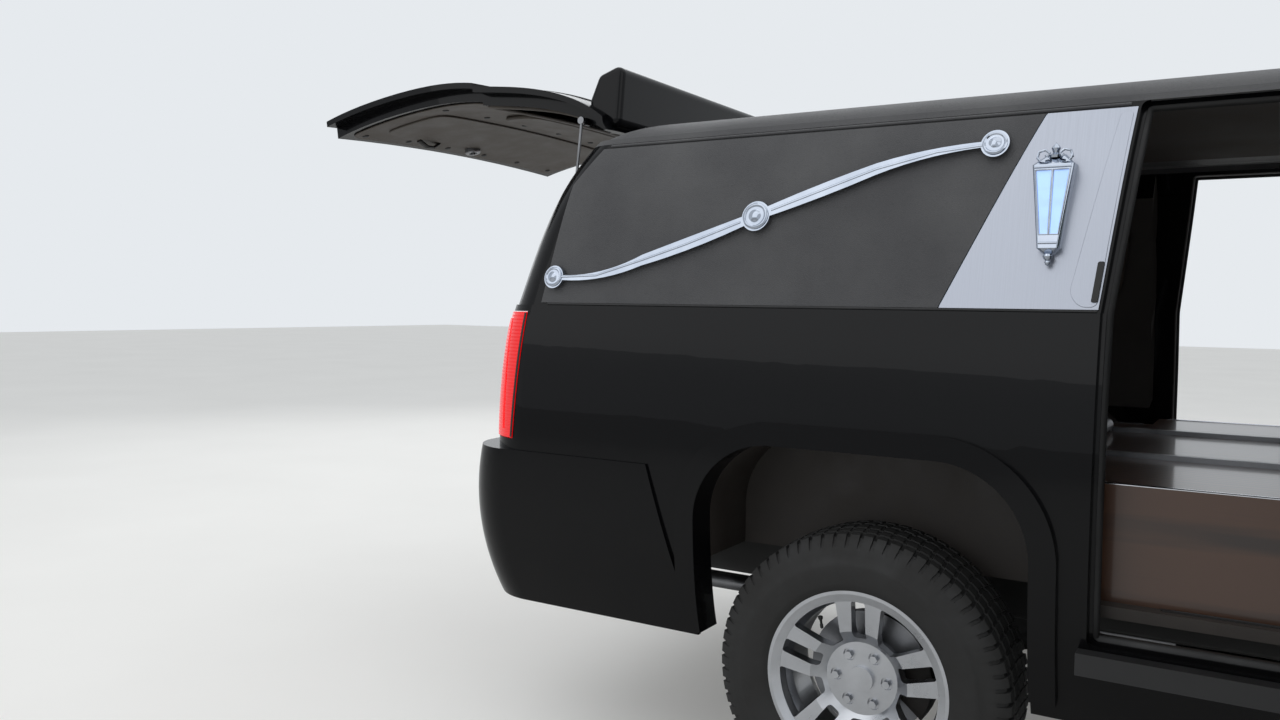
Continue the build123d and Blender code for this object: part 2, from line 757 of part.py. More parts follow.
# Spoke disc: radius, distance outboard of the middle of the tyre
disc_rows = [(0, hub_face), (98, hub_face), (134, 92), (226, 104), (226, 72), (140, 58), (100, 30), (0, 30)]

# Rim section: height over the bead seat, side of the rim, distance from that side
rim_rows = [
    (19, -1, 0), (19, -1, 12), (0, -1, 16), (0, -1, 55), (-12, -1, 75), (-12, 1, -75), (0, 1, -55),
    (0, 1, -16), (19, 1, -12), (19, 1, 0), (10, 1, 0), (-12, 1, -20), (-24, 1, -60), (-24, -1, 70),
    (-12, -1, 50), (-12, -1, 12), (10, -1, 0),
]


def wheel_disc():
    # Right-hand wheel about the middle of its tyre: rim, pairs of spokes, hub with lug nuts, brake disc
    window_start = (window_to - window_bulge, -window_half)
    window_end = (window_to - window_bulge, window_half)
    with BuildSketch() as between:
        with BuildLine():
            Polyline(window_start, (window_from, -slot_half), (window_from, slot_half), window_end)
            ThreePointArc(window_end, (window_to, 0), window_start)
        make_face()
        fillet(between.vertices(), window_corner)
        with PolarLocations((slot_from + slot_to) / 2, 1, start_angle=180 / spoke_count):
            RectangleRounded(slot_to - slot_from, 2 * slot_half, window_corner)
    with BuildPart() as disc:
        with BuildSketch(Plane.XY):
            with BuildLine():
                Polyline(*[(radius, -out) for radius, out in disc_rows], close=True)
            make_face()
        revolve(axis=Axis.Y)
        with BuildSketch(Plane.XZ):
            with PolarLocations(0, spoke_count, start_angle=90 + 180 / spoke_count):
                add(between.sketch)
        extrude(amount=rim_width, mode=Mode.SUBTRACT)
    rim_points = [
        (rim_radius + rise, side * rim_width / 2 + along) for rise, side, along in rim_rows
    ]
    with BuildPart() as wheel:
        with BuildSketch(Plane.XY):
            with BuildLine():
                Polyline(*rim_points, close=True)
            make_face()
        revolve(axis=Axis.Y)
        add(disc.part)
        with BuildSketch(Plane.XZ.offset(-hub_inner)):
            Circle(hub_radius)
        extrude(amount=hub_inner + hub_face)
        with BuildSketch(Plane.XZ.offset(-hub_inner + 6)):
            Circle(brake_radius)
        extrude(amount=brake_thickness)
        with BuildSketch(Plane.XZ.offset(hub_face - pocket_depth)):
            with PolarLocations(lug_circle, lug_count):
                Circle(nut_pocket)
        extrude(amount=pocket_depth, mode=Mode.SUBTRACT)
        with BuildSketch(Plane.XZ.offset(hub_face - pocket_depth)):
            with PolarLocations(lug_circle, lug_count):
                RegularPolygon(nut_radius, 6)
        extrude(amount=nut_height)
        with BuildSketch(Plane.XZ.offset(hub_face)):
            Circle(hub_cap_radius)
        extrude(amount=hub_cap_height)
        with BuildSketch(Plane.XZ.offset(-hub_inner)):
            Circle(spindle_radius + running_fit)
        extrude(amount=bore_depth, mode=Mode.SUBTRACT)
    return wheel.part


def tyre_ring():
    # Tyre on its rim, with rounded walls and shoulders
    half = tyre_width / 2
    with BuildPart() as tyre:
        with BuildSketch(Plane.XY):
            with BuildLine():
                Polyline(
                    (rim_radius, -rim_width / 2 + 16), (rim_radius + 20, -rim_width / 2 + 12.5),
                    (rim_radius + 22, -rim_width / 2 - 2),
                )
                ThreePointArc(
                    (rim_radius + 22, -rim_width / 2 - 2), (rim_radius + 80, -half),
                    (tyre_radius - 30, -half + 12),
                )
                ThreePointArc(
                    (tyre_radius - 30, -half + 12), (tyre_radius - 10, -half + 20),
                    (tyre_radius - 3, -half + 38),
                )
                ThreePointArc((tyre_radius - 3, -half + 38), (tyre_radius, 0), (tyre_radius - 3, half - 38))
                ThreePointArc(
                    (tyre_radius - 3, half - 38), (tyre_radius - 10, half - 20),
                    (tyre_radius - 30, half - 12),
                )
                ThreePointArc(
                    (tyre_radius - 30, half - 12), (rim_radius + 80, half),
                    (rim_radius + 22, rim_width / 2 + 2),
                )
                Polyline(
                    (rim_radius + 22, rim_width / 2 + 2), (rim_radius + 20, rim_width / 2 - 12.5),
                    (rim_radius, rim_width / 2 - 16), (rim_radius, rim_width / 2 - 50),
                    (rim_radius + 15, rim_width / 2 - 60), (rim_radius + 15, -rim_width / 2 + 60),
                    (rim_radius, -rim_width / 2 + 50), (rim_radius, -rim_width / 2 + 16),
                )
            make_face()
        revolve(axis=Axis.Y)
    return tyre.part


hub_z = tyre_radius
tyre_solid = tyre_ring()
wheel_solid = wheel_disc()
wheels = {}
for end, axle_x in (("rear", 0), ("front", wheelbase)):
    for side, sign in (("right", -1), ("left", 1)):
        for kind, solid in (("tyre", tyre_solid), ("wheel", wheel_solid)):
            facing = solid if sign < 0 else solid.mirror(Plane.XZ)
            wheels[f"{kind}_{end}_{side}"] = facing.moved(Location((axle_x, sign * wheel_y, hub_z)))

# Chassis
rail_near = 400
rail_width = 80
rail_far = rail_near + rail_width
rail_foot_z = 500
rail_top_z = 640
rail_height = rail_top_z - rail_foot_z
rail_wall = 6
bore_width = rail_width - 2 * rail_wall
bore_height = rail_height - 2 * rail_wall
rail_rear_x = -1120
rail_front_x = wheelbase + 600
member_foot_z = rail_foot_z + 20
member_rows = (-1080, 560, 1500, wheelbase - 760, wheelbase + 540)
body_mount_rows = (-1000, 660, 1600, wheelbase - 860)
body_mount_radius = 32
with BuildPart() as ladder_frame:
    for y in (-rail_near - rail_width / 2, rail_near + rail_width / 2):
        with BuildSketch(Plane.YZ.offset(rail_rear_x)):
            with Locations((y, (rail_foot_z + rail_top_z) / 2)):
                RectangleRounded(rail_width, rail_height, 12)
                RectangleRounded(bore_width, bore_height, 8, mode=Mode.SUBTRACT)
        extrude(amount=rail_front_x - rail_rear_x)
        for x in body_mount_rows:
            add(upright((x, y), rail_top_z - 3, floor_z - seat_gap, body_mount_radius))
    for x in member_rows:
        add(box(x - 40, x + 40, -rail_near - 4, rail_near + 4, member_foot_z, member_foot_z + 70))

engine_half = 300
engine_foot_z = 560
mount_reach = rail_near - seat_gap
with BuildPart() as engine:
    add(box(wheelbase - 380, wheelbase + 340, -engine_half, engine_half, engine_foot_z, 1040))
    add(box(wheelbase - 1100, wheelbase - 380, -150, 150, 600, floor_z - 5))
    fillet(engine.edges().filter_by(Axis.X), 20)
    add(box(wheelbase + 60, wheelbase + 140, -mount_reach, mount_reach, engine_foot_z + 20, rail_top_z - 20))

spring_radius = 50
tube_end = wheel_y - 60
with BuildPart() as rear_axle:
    add(crossbar((0, hub_z), -tube_end, tube_end, 44))
    add(crossbar((0, hub_z), -wheel_y - spindle_reach, wheel_y + spindle_reach, spindle_radius))
    with Locations((0, 0, hub_z)):
        Sphere(140)
    with BuildSketch(Plane.YZ.offset(100)):
        with Locations((0, hub_z)):
            Circle(38)
    extrude(amount=1900)
    for y in (-440, 440):
        with BuildSketch(Plane.XY.offset(hub_z + 30)):
            with Locations((0, y)):
                Circle(spring_radius)
                Circle(spring_radius - 14, mode=Mode.SUBTRACT)
        extrude(amount=rail_foot_z - hub_z - 30)

# Front suspension: cross beam, its uprights under the rails, and the arms to the kingpins
beam_foot_z = 262
arm_foot_top = 292
arm_top_foot = 520
arm_end = kingpin_y + kingpin_half + 2
with BuildPart() as suspension_half:
    add(box(wheelbase - 60, wheelbase + 60, -rail_near + 10, 1, beam_foot_z, 300))
    add(box(wheelbase - 60, wheelbase + 60, -rail_near - 40, -rail_near + 40, beam_foot_z, rail_foot_z))
    add(box(wheelbase - 45, wheelbase + 45, -arm_end, -rail_near, beam_foot_z, arm_foot_top))
    add(box(wheelbase - 40, wheelbase + 40, -arm_end, -rail_far, arm_top_foot, arm_top_foot + 25))
    add(upright((wheelbase, -kingpin_y), beam_foot_z, arm_foot_top + kingpin_reach, kingpin_radius))
    add(upright((wheelbase, -kingpin_y), arm_top_foot - kingpin_reach, arm_top_foot + 25, kingpin_radius))
front_suspension = pair(suspension_half.part)

with BuildPart() as knuckle:
    add(box(wheelbase - 28, wheelbase + 28, -kingpin_y - kingpin_half, -kingpin_y + kingpin_half,
            arm_foot_top + seat_gap, arm_top_foot - seat_gap))
    add(crossbar((wheelbase, hub_z), kingpin_y - 15, kingpin_y - 15 + hub_length, 60))
    add(crossbar((wheelbase, hub_z), kingpin_y, wheel_y + spindle_reach, spindle_radius))
    for end_z in (arm_foot_top, arm_top_foot):
        bore = upright((wheelbase, -kingpin_y), end_z - kingpin_reach - 1, end_z + kingpin_reach + 1,
                       kingpin_radius + running_fit)
        add(bore, mode=Mode.SUBTRACT)

pipe_y = 250
pipe_radius = 30
pipe_z = 440
over_axle_z = 548
tail_pipe_z = 398
pipe_route = [
    (wheelbase - 300, pipe_z), (420, pipe_z), (220, over_axle_z), (-260, over_axle_z), (-480, tail_pipe_z),
    (-1390, tail_pipe_z),
]
with BuildPart() as exhaust:
    with BuildLine():
        FilletPolyline(*[(x, -pipe_y, z) for x, z in pipe_route], radius=60)
    with BuildSketch(Plane(origin=(wheelbase - 300, -pipe_y, pipe_z), z_dir=(-1, 0, 0))):
        Circle(pipe_radius)
    sweep()
    with BuildSketch(Plane.YZ.offset(700)):
        with Locations((-pipe_y, pipe_z - 15)):
            Ellipse(120, 62)
    extrude(amount=560)
    for x, foot_z in ((member_rows[0], tail_pipe_z), (member_rows[1], pipe_z), (member_rows[3], pipe_z)):
        add(upright((x, -pipe_y), foot_z, member_foot_z - seat_gap, 7))

with BuildPart() as fuel_tank:
    add(box(640, 1450, 40, rail_near - seat_gap, 445, rail_foot_z + 60))
    fillet(fuel_tank.edges(), 25)

with BuildPart() as board_half:
    add(box(540, wheelbase - 560, -1022, -900, 548, 600))
    add(whole(-seat_gap), mode=Mode.SUBTRACT)
running_boards = pair(board_half.part)

# Load deck between and ahead of the wheel housings
deck_front_x = 1480
deck_rear_x = -1120
deck_neck_x = 530
deck_near = housing_y - 30   # half width between the wheel housings
deck_far = 860
deck_right = [
    (deck_rear_x, -deck_near), (deck_neck_x, -deck_near), (deck_neck_x, -deck_far), (deck_front_x, -deck_far),
]
deck_plan = deck_right + [(x, -y) for x, y in reversed(deck_right)]
deck_wall = 20
with BuildPart() as casket_deck:
    add(plan_block(deck_plan, floor_top_z, deck_z))
    add(plan_block(deck_plan, floor_z, deck_z - deck_wall, 0, -deck_wall), mode=Mode.SUBTRACT)

rail_y = 330                # rub rails on the deck
rub_rail = 14
roller_stations = (-1070, -600, -100, 420, 950)
roller_radius = 22
roller_half = 280
pin_places = [(x, y) for x in (-850, 1200) for y in (-420, 420)]
pin_plate = 14
pin_bore = 8
with BuildPart() as deck_hardware:
    for y in (-rail_y, rail_y):
        add(box(-1100, deck_front_x - 120, y - 12, y + 12, deck_z, deck_z + rub_rail))
    for x in roller_stations:
        add(crossbar((x, deck_z + roller_radius + 4), -roller_half, roller_half, roller_radius))
        for y in (-roller_half - 10, roller_half + 10):
            add(box(x - 14, x + 14, y - 10, y + 10, deck_z, deck_z + 40))
    for x, y in pin_places:
        add(box(x - 60, x + 60, y - 40, y + 40, deck_z, deck_z + pin_plate))
        add(upright((x, y), deck_z, deck_z + pin_plate, pin_bore), mode=Mode.SUBTRACT)

# Front seats, soft parts
with BuildPart() as seat_right:
    with BuildSketch(Plane.XZ.offset(200)) as profile:
        with BuildLine():
            Polyline(
                (1740, seat_base_z + seat_gap), (2190, seat_base_z + seat_gap), (2270, 960), (2270, 1050),
                (1850, 1010), (1700, 1640), (1600, 1630), (1640, 1050),
                close=True,
            )
        make_face()
        fillet(profile.vertices(), 30)
    extrude(amount=500)
seats = pair(seat_right.part)

# Dashboard with the steering wheel and its column
dash_half = 850
dash_front_x = front_door_x - seat_gap
steering_y = 420
grip_radius = 185
wheel_plane = Plane(origin=(2230, steering_y, 1230), x_dir=(0, 1, 0), z_dir=(-0.9, 0, 0.42))
grip_plane = Plane(
    origin=wheel_plane.origin + wheel_plane.x_dir * grip_radius, x_dir=wheel_plane.x_dir,
    z_dir=wheel_plane.y_dir,
)
with BuildPart() as dashboard:
    with BuildSketch(Plane.XZ.offset(-dash_half)) as section:
        with BuildLine():
            Polyline(
                (2330, 1180), (2380, 1300), (dash_front_x, 1330), (dash_front_x, 1000), (2450, 960),
                close=True,
            )
        make_face()
        fillet(section.vertices().group_by(Axis.X)[0] + section.vertices().group_by(Axis.X)[1], 20)
    extrude(amount=2 * dash_half)
    with BuildSketch(grip_plane):
        Circle(15)
    revolve(axis=Axis(wheel_plane.origin, wheel_plane.z_dir))
    with BuildSketch(wheel_plane.offset(-25)):
        Circle(60)
    extrude(amount=40)
    with BuildSketch(wheel_plane.offset(-14)):
        Rectangle(2 * grip_radius - 20, 36)
    extrude(amount=18)
    with BuildSketch(wheel_plane.offset(-200)):
        Circle(28)
    extrude(amount=180)

# Landau bars: an S of two tapered blades with round ends and a round middle boss
cap_radius = 35
boss_radius = 42
foot_radius = 16
bar_points = [  # x, z, half width
    (-1015, 1473, 7), (-857, 1477, 10), (-700, 1522, 16), (-558, 1566, 19), (-345, 1642, 13),
    (-147, 1710, 19), (-12, 1757, 16), (144, 1793, 10), (288, 1806, 7),
]
bar_caps = [bar_points[0][:2], bar_points[-1][:2]]
bar_boss = bar_points[4][:2]
upper_edge = [(x, z + half) for x, z, half in bar_points]
lower_edge = [(x, z - half) for x, z, half in bar_points]
with BuildPart() as blade_block:
    with BuildSketch(Plane.XZ.offset(700)):
        with BuildLine():
            for edge in (upper_edge, lower_edge):
                for first in range(0, len(bar_points) - 1, 2):
                    ThreePointArc(*edge[first:first + 3])
            Line(upper_edge[0], lower_edge[0])
            Line(upper_edge[-1], lower_edge[-1])
        make_face()
        with Locations(*bar_caps):
            Circle(cap_radius)
        with Locations(bar_boss):
            Circle(boss_radius)
    extrude(amount=400)
with BuildPart() as bar_feet:
    for place in (*bar_caps, bar_boss):
        add(crossbar(place, 700, 1100, foot_radius))
with BuildPart() as landau_bar:
    add(panel(blade_block.part, -24, -12))
    add(panel(bar_feet.part, -14, -4))
landau_bars = pair(landau_bar.part)

# Coach lamps: a tapered lantern in a metal frame, on the steel panels
lamp_x = 437
lamp_tip = (1522, 10, 14)    # height, half width, depth
lamp_foot = (1538, 26, 30)
lamp_head = (1740, 48, 46)
lamp_crown = (1766, 22, 20)
muntin = 3                   # half width of the bar between the lamp's two panes
pane_points = [(lamp_x + muntin, 1572), (lamp_x + muntin, 1724), (lamp_x + 37, 1724), (lamp_x + 20, 1572)]


def skin_half(z):
    # Half width of the upper body at a height, between its rows
    for low, high in zip(upper_rows, upper_rows[1:]):
        if low[0] <= z <= high[0]:
            return low[1] + (high[1] - low[1]) * (z - low[0]) / (high[0] - low[0])


def lantern(low, high, grow):
    # A tapered length of the lamp, standing on the bright panel
    with BuildPart() as body:
        for (z, half, depth), up in ((low, -grow), (high, grow)):
            with BuildSketch(Plane.XY.offset(z + up)):
                with Locations((lamp_x, -skin_half(z) - depth / 2)):
                    RectangleRounded(2 * half + 2 * grow, depth + 20 + 2 * grow, min(half, 8))
        loft()
        add(whole(-5), mode=Mode.SUBTRACT)
    return body.part


facing_pane = [(2 * lamp_x - x, z) for x, z in pane_points]
with BuildPart() as lamp_frame:
    add(lantern(lamp_foot, lamp_head, 0))
    for points in (pane_points, facing_pane):
        add(side_block(points, 600, 1200), mode=Mode.SUBTRACT)
    add(lantern(lamp_tip, lamp_foot, 0))
    add(lantern(lamp_head, lamp_crown, 0))
coach_lamp_frames = pair(lamp_frame.part)
with BuildPart() as lamp_glass:
    for points in (pane_points, facing_pane):
        add(side_block(points, 700, 1100, 0, -seat_gap))
    add(lantern(lamp_foot, lamp_head, -3), mode=Mode.INTERSECT)
coach_lamps = pair(lamp_glass.part)

right_hinge = Axis((pillar_x - panel_gap, -hinge_y, 0), (0, 0, 1))
left_hinge = Axis((pillar_x - panel_gap, hinge_y, 0), (0, 0, 1))
pieces = {
    "ladder_frame": ladder_frame.part,
    "floor_tub": floor_tub,
    "cowl": cowl,
    "rear_quarters": rear_quarters,
    "rear_panel": rear_panel,
    "door_frames": door_frames,
    "roof": roof,
    "front_fenders": front_fenders.part,
    "front_bumper": front_bumper,
    "grille": grille,
    "headlamps": headlamps,
    "rear_bumper": rear_bumper,
    "tail_lamps": tail_lamps,
    "windscreen": windscreen,
    "landau_panels": landau_panels,
    "steel_panels": steel_panels,
    "landau_bars": landau_bars,
    "coach_lamp_frames": coach_lamp_frames,
    "coach_lamps": coach_lamps,
    "casket_deck": casket_deck.part,
    "deck_hardware": deck_hardware.part,
    "seats": seats,
    "dashboard": dashboard.part,
    "engine": engine.part,
    "exhaust": exhaust.part,
    "fuel_tank": fuel_tank.part,
    "rear_axle": rear_axle.part,
    "front_suspension": front_suspension,
    "running_boards": running_boards,
    "hood": hood,
    "liftgate": liftgate,
    "gate_glass": gate_glass,
    "strut_cylinder_right": strut_cylinder.part,
    "strut_cylinder_left": strut_cylinder.part.mirror(Plane.XZ),
    "strut_rod_right": strut_rod.part,
    "strut_rod_left": strut_rod.part.mirror(Plane.XZ),
    "front_door_right": front_door.part,
    "front_door_left": front_door.part.mirror(Plane.XZ),
    "front_glass_right": front_glass,
    "front_glass_left": front_glass.mirror(Plane.XZ),
    "rear_door_right": rear_door.part.rotate(right_hinge, door_open),
    "rear_door_left": rear_door.part.mirror(Plane.XZ).rotate(left_hinge, -door_open),
    "rear_glass_right": rear_glass.rotate(right_hinge, door_open),
    "rear_glass_left": rear_glass.mirror(Plane.XZ).rotate(left_hinge, -door_open),
    "knuckle_right": knuckle.part,
    "knuckle_left": knuckle.part.mirror(Plane.XZ),
    **wheels,
}

# Centre of the parked car between the nose and the raised gate
nose_x = pieces["front_bumper"].bounding_box().max.X
tail_x = pieces["liftgate"].bounding_box().min.X
shift_x = -(nose_x + tail_x) / 2
to_centre = Location((shift_x, 0, 0))
print("moved by", round(shift_x, 3))

for name, piece in pieces.items():
    placed = piece.moved(to_centre)
    placed.label = name
    export_step(placed, f"parts/{name}.step")
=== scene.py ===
import bmesh
import bpy
import json
import math
from mathutils import Matrix, Vector
from mathutils.bvhtree import BVHTree


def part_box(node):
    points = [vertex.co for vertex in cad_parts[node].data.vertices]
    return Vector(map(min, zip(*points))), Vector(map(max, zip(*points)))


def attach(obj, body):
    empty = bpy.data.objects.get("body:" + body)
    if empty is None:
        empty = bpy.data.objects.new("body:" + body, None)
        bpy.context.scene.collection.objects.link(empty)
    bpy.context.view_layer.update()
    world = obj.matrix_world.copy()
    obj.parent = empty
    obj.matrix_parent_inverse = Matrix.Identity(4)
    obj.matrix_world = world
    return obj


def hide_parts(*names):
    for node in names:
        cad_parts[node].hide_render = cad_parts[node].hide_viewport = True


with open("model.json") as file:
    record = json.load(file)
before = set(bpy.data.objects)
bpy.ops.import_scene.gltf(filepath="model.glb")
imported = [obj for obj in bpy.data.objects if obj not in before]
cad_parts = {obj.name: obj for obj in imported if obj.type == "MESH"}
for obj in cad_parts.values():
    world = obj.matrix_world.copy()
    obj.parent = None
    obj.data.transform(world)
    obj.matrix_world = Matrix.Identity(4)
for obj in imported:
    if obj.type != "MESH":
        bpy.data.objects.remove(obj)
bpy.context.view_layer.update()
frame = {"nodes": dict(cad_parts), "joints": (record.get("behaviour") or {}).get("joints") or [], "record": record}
nodes = frame["nodes"]
joints = {joint["name"]: joint for joint in frame["joints"]}
print("frame loaded with", len(nodes), "nodes")

sides = {"right": -1, "left": 1}
rearAxle = Vector(joints["wheel_rear_right_spin"]["pos_m"])
shift = rearAxle.x  # the drawing's x runs from the rear axle


def linear(code):
    # sRGB hex, such as 1C1C1E, to the linear colour that a shader takes
    parts = [int(code[i:i + 2], 16) / 255 for i in (0, 2, 4)]
    return tuple(c / 12.92 if c <= 0.04045 else ((c + 0.055) / 1.055) ** 2.4 for c in parts) + (1.0,)


def addNode(tree, kind, settings=None, links=None):
    # settings go to the node's own values or its inputs, links join an input to another node's output
    node = tree.nodes.new(kind)
    for name, value in (settings or {}).items():
        if isinstance(name, int) or name in node.inputs:
            node.inputs[name].default_value = value
        else:
            setattr(node, name, value)
    for name, source in (links or {}).items():
        tree.links.new(source, node.inputs[name])
    return node


def newFinish(name, settings):
    # An empty material with its shader and the object's own coordinates in metres
    finish = bpy.data.materials.new(name)
    finish.use_nodes = True
    tree = finish.node_tree
    tree.nodes.clear()
    shader = addNode(tree, "ShaderNodeBsdfPrincipled", settings)
    addNode(tree, "ShaderNodeOutputMaterial", links={"Surface": shader.outputs[0]})
    place = addNode(tree, "ShaderNodeTexCoord").outputs["Object"]
    return finish, tree, shader, place


def setRamp(ramp, stops):
    # stops are pairs of a position and a colour
    elements = ramp.color_ramp.elements
    while len(elements) < len(stops):
        elements.new(0.5)
    for element, (position, colour) in zip(elements, stops):
        element.position = position
        element.color = colour


# Black two-pack enamel under clear lacquer: deep, mirror-like, slightly wavy, dusty towards the sill
enamel = {"base": "08080A", "dust": "1C1B19", "dustTop": 0.95, "dustFoot": 0.4, "dustMost": 0.35,  # metres, share
          "peelMm": 14, "peelHeight": 0.02}


def makeEnamel():
    finish, tree, shader, place = newFinish("black car enamel", {
        "Roughness": 0.22, "IOR": 1.5, "Specular IOR Level": 0.07, "Coat Weight": 0.22, "Coat Roughness": 0.02,
    })
    height = addNode(tree, "ShaderNodeSeparateXYZ", links={0: place}).outputs["Z"]
    low = addNode(tree, "ShaderNodeMapRange", {"From Min": enamel["dustTop"], "From Max": enamel["dustFoot"],
                                               "To Max": enamel["dustMost"]}, {"Value": height})
    cloud = addNode(tree, "ShaderNodeTexNoise", {"Scale": 6.0, "Detail": 6.0, "Roughness": 0.6}, {"Vector": place})
    amount = addNode(tree, "ShaderNodeMath", {"operation": "MULTIPLY"},
                     {0: low.outputs[0], 1: cloud.outputs["Fac"]})
    colour = addNode(tree, "ShaderNodeMix", {"data_type": "RGBA", 6: linear(enamel["base"]),
                                             7: linear(enamel["dust"])}, {0: amount.outputs[0]})
    tree.links.new(colour.outputs[2], shader.inputs["Base Color"])
    peel = addNode(tree, "ShaderNodeTexNoise", {"Scale": 1000 / enamel["peelMm"], "Detail": 1.0}, {"Vector": place})
    bump = addNode(tree, "ShaderNodeBump", {"Strength": 0.06, "Distance": enamel["peelHeight"] / 1000},
                   {"Height": peel.outputs["Fac"]})
    tree.links.new(bump.outputs[0], shader.inputs["Coat Normal"])
    return finish


# Expanded vinyl over foam, pressed with a leather grain: matt charcoal, soft highlights
vinyl = {"base": "38383A", "worn": "484849", "grainMm": 5.0,  # the real grain is 1.5 mm, too fine to show
         "grainDeep": 0.0006}


def makeVinyl():
    finish, tree, shader, place = newFinish("charcoal grained vinyl", {
        "IOR": 1.46, "Sheen Weight": 0.12, "Sheen Roughness": 0.5,
    })
    cells = addNode(tree, "ShaderNodeTexVoronoi", {"Scale": 1000 / vinyl["grainMm"], "feature": "DISTANCE_TO_EDGE"},
                    {"Vector": place})
    valley = addNode(tree, "ShaderNodeMapRange", {"From Max": 0.18}, {"Value": cells.outputs["Distance"]})
    cloud = addNode(tree, "ShaderNodeTexNoise", {"Scale": 3.5, "Detail": 5.0}, {"Vector": place})
    tone = addNode(tree, "ShaderNodeMapRange", {"From Min": 0.35, "From Max": 0.7}, {"Value": cloud.outputs["Fac"]})
    colour = addNode(tree, "ShaderNodeMix", {"data_type": "RGBA", 6: linear(vinyl["base"]),
                                             7: linear(vinyl["worn"])}, {0: tone.outputs[0]})
    tree.links.new(colour.outputs[2], shader.inputs["Base Color"])
    rough = addNode(tree, "ShaderNodeMapRange", {"To Min": 0.72, "To Max": 0.52}, {"Value": valley.outputs[0]})
    tree.links.new(rough.outputs[0], shader.inputs["Roughness"])
    bump = addNode(tree, "ShaderNodeBump", {"Strength": 0.5, "Distance": vinyl["grainDeep"]},
                   {"Height": valley.outputs[0]})
    tree.links.new(bump.outputs[0], shader.inputs["Normal"])
    return finish


# Stainless sheet brushed upright with fine grit: pale, streaked highlights
stainless = {"dark": "8E929B", "light": "A9ADB7", "strokeMm": 3.0,  # the real strokes are 0.1 mm, too fine to show
             "smooth": 0.3, "rough": 0.42}


def makeStainless():
    finish, tree, shader, place = newFinish("brushed stainless steel", {"Metallic": 1.0})
    stretched = addNode(tree, "ShaderNodeMapping", {"Scale": (1000 / stainless["strokeMm"], 20.0, 2.0)},
                        {"Vector": place})
    strokes = addNode(tree, "ShaderNodeTexNoise", {"Scale": 1.0, "Detail": 3.0, "Roughness": 0.7},
                      {"Vector": stretched.outputs[0]})
    rough = addNode(tree, "ShaderNodeMapRange", {"From Min": 0.3, "From Max": 0.7, "To Min": stainless["smooth"],
                                                 "To Max": stainless["rough"]}, {"Value": strokes.outputs["Fac"]})
    tree.links.new(rough.outputs[0], shader.inputs["Roughness"])
    colour = addNode(tree, "ShaderNodeMix", {"data_type": "RGBA", 6: linear(stainless["dark"]),
                                             7: linear(stainless["light"])}, {0: strokes.outputs["Fac"]})
    tree.links.new(colour.outputs[2], shader.inputs["Base Color"])
    bump = addNode(tree, "ShaderNodeBump", {"Strength": 0.12, "Distance": 0.0001}, {"Height": strokes.outputs["Fac"]})
    tree.links.new(bump.outputs[0], shader.inputs["Normal"])
    return finish


# Metals, paints, plastics, rubber, cloth and leather that differ only in tone, gloss and grain
# slot: name, colour, second colour, metallic, lowest and highest roughness, grain and its height in mm, coat
plainFinishes = {
    "chrome": ("chrome plating on die-cast zinc", "9FA7B4", "B3BAC5", 1.0, 0.05, 0.12, 60, 0.0, 0.0),
    "alloy": ("silver lacquered cast aluminium", "A9ABAF", "B9BBBF", 1.0, 0.26, 0.36, 9, 0.02, 0.6),
    "bare_steel": ("ground mild steel", "77787B", "929396", 1.0, 0.28, 0.5, 30, 0.03, 0.0),
    "cast_iron": ("sand-cast iron", "2B2A29", "3A3532", 0.6, 0.55, 0.75, 5, 0.3, 0.0),
    "chassis_black": ("satin black chassis paint", "101010", "1C1B1A", 0.0, 0.4, 0.6, 24, 0.05, 0.0),
    "trim_black": ("black grained polypropylene", "131314", "1B1B1C", 0.0, 0.48, 0.66, 4, 0.12, 0.0),
    "interior_trim": ("brown-grey grained ABS", "2A2522", "35302C", 0.0, 0.5, 0.68, 4, 0.12, 0.0),
    "gate_trim": ("brown-grey moulded polypropylene", "3A332D", "463F37", 0.0, 0.5, 0.66, 4, 0.12, 0.0),
    "headliner": ("brown-grey knitted headliner cloth", "3B3530", "48413B", 0.0, 0.8, 0.95, 3, 0.3, 0.0),
    "carpet": ("charcoal tufted carpet", "1C1B1B", "2A2928", 0.0, 0.85, 1.0, 5, 1.2, 0.0),
    "seal": ("black EPDM rubber seal", "0E0E0F", "171717", 0.0, 0.5, 0.7, 12, 0.04, 0.0),
    "polished": ("mirror-polished aluminium strip", "C9CCD2", "D8DADF", 1.0, 0.14, 0.22, 30, 0.0, 0.0),
    "mirror_glass": ("silvered mirror glass", "B9BDC2", "C3C7CB", 1.0, 0.01, 0.03, 60, 0.0, 0.0),
    "blank_plate": ("white enamelled aluminium", "DDDDDA", "E4E4E1", 0.0, 0.3, 0.42, 14, 0.02, 0.3),
    "tyre": ("carbon black tyre rubber", "121212", "1D1C1B", 0.0, 0.62, 0.85, 7, 0.08, 0.0),
    "seat_leather": ("black seat leather", "161617", "222224", 0.0, 0.4, 0.58, 6, 0.2, 0.0),
}


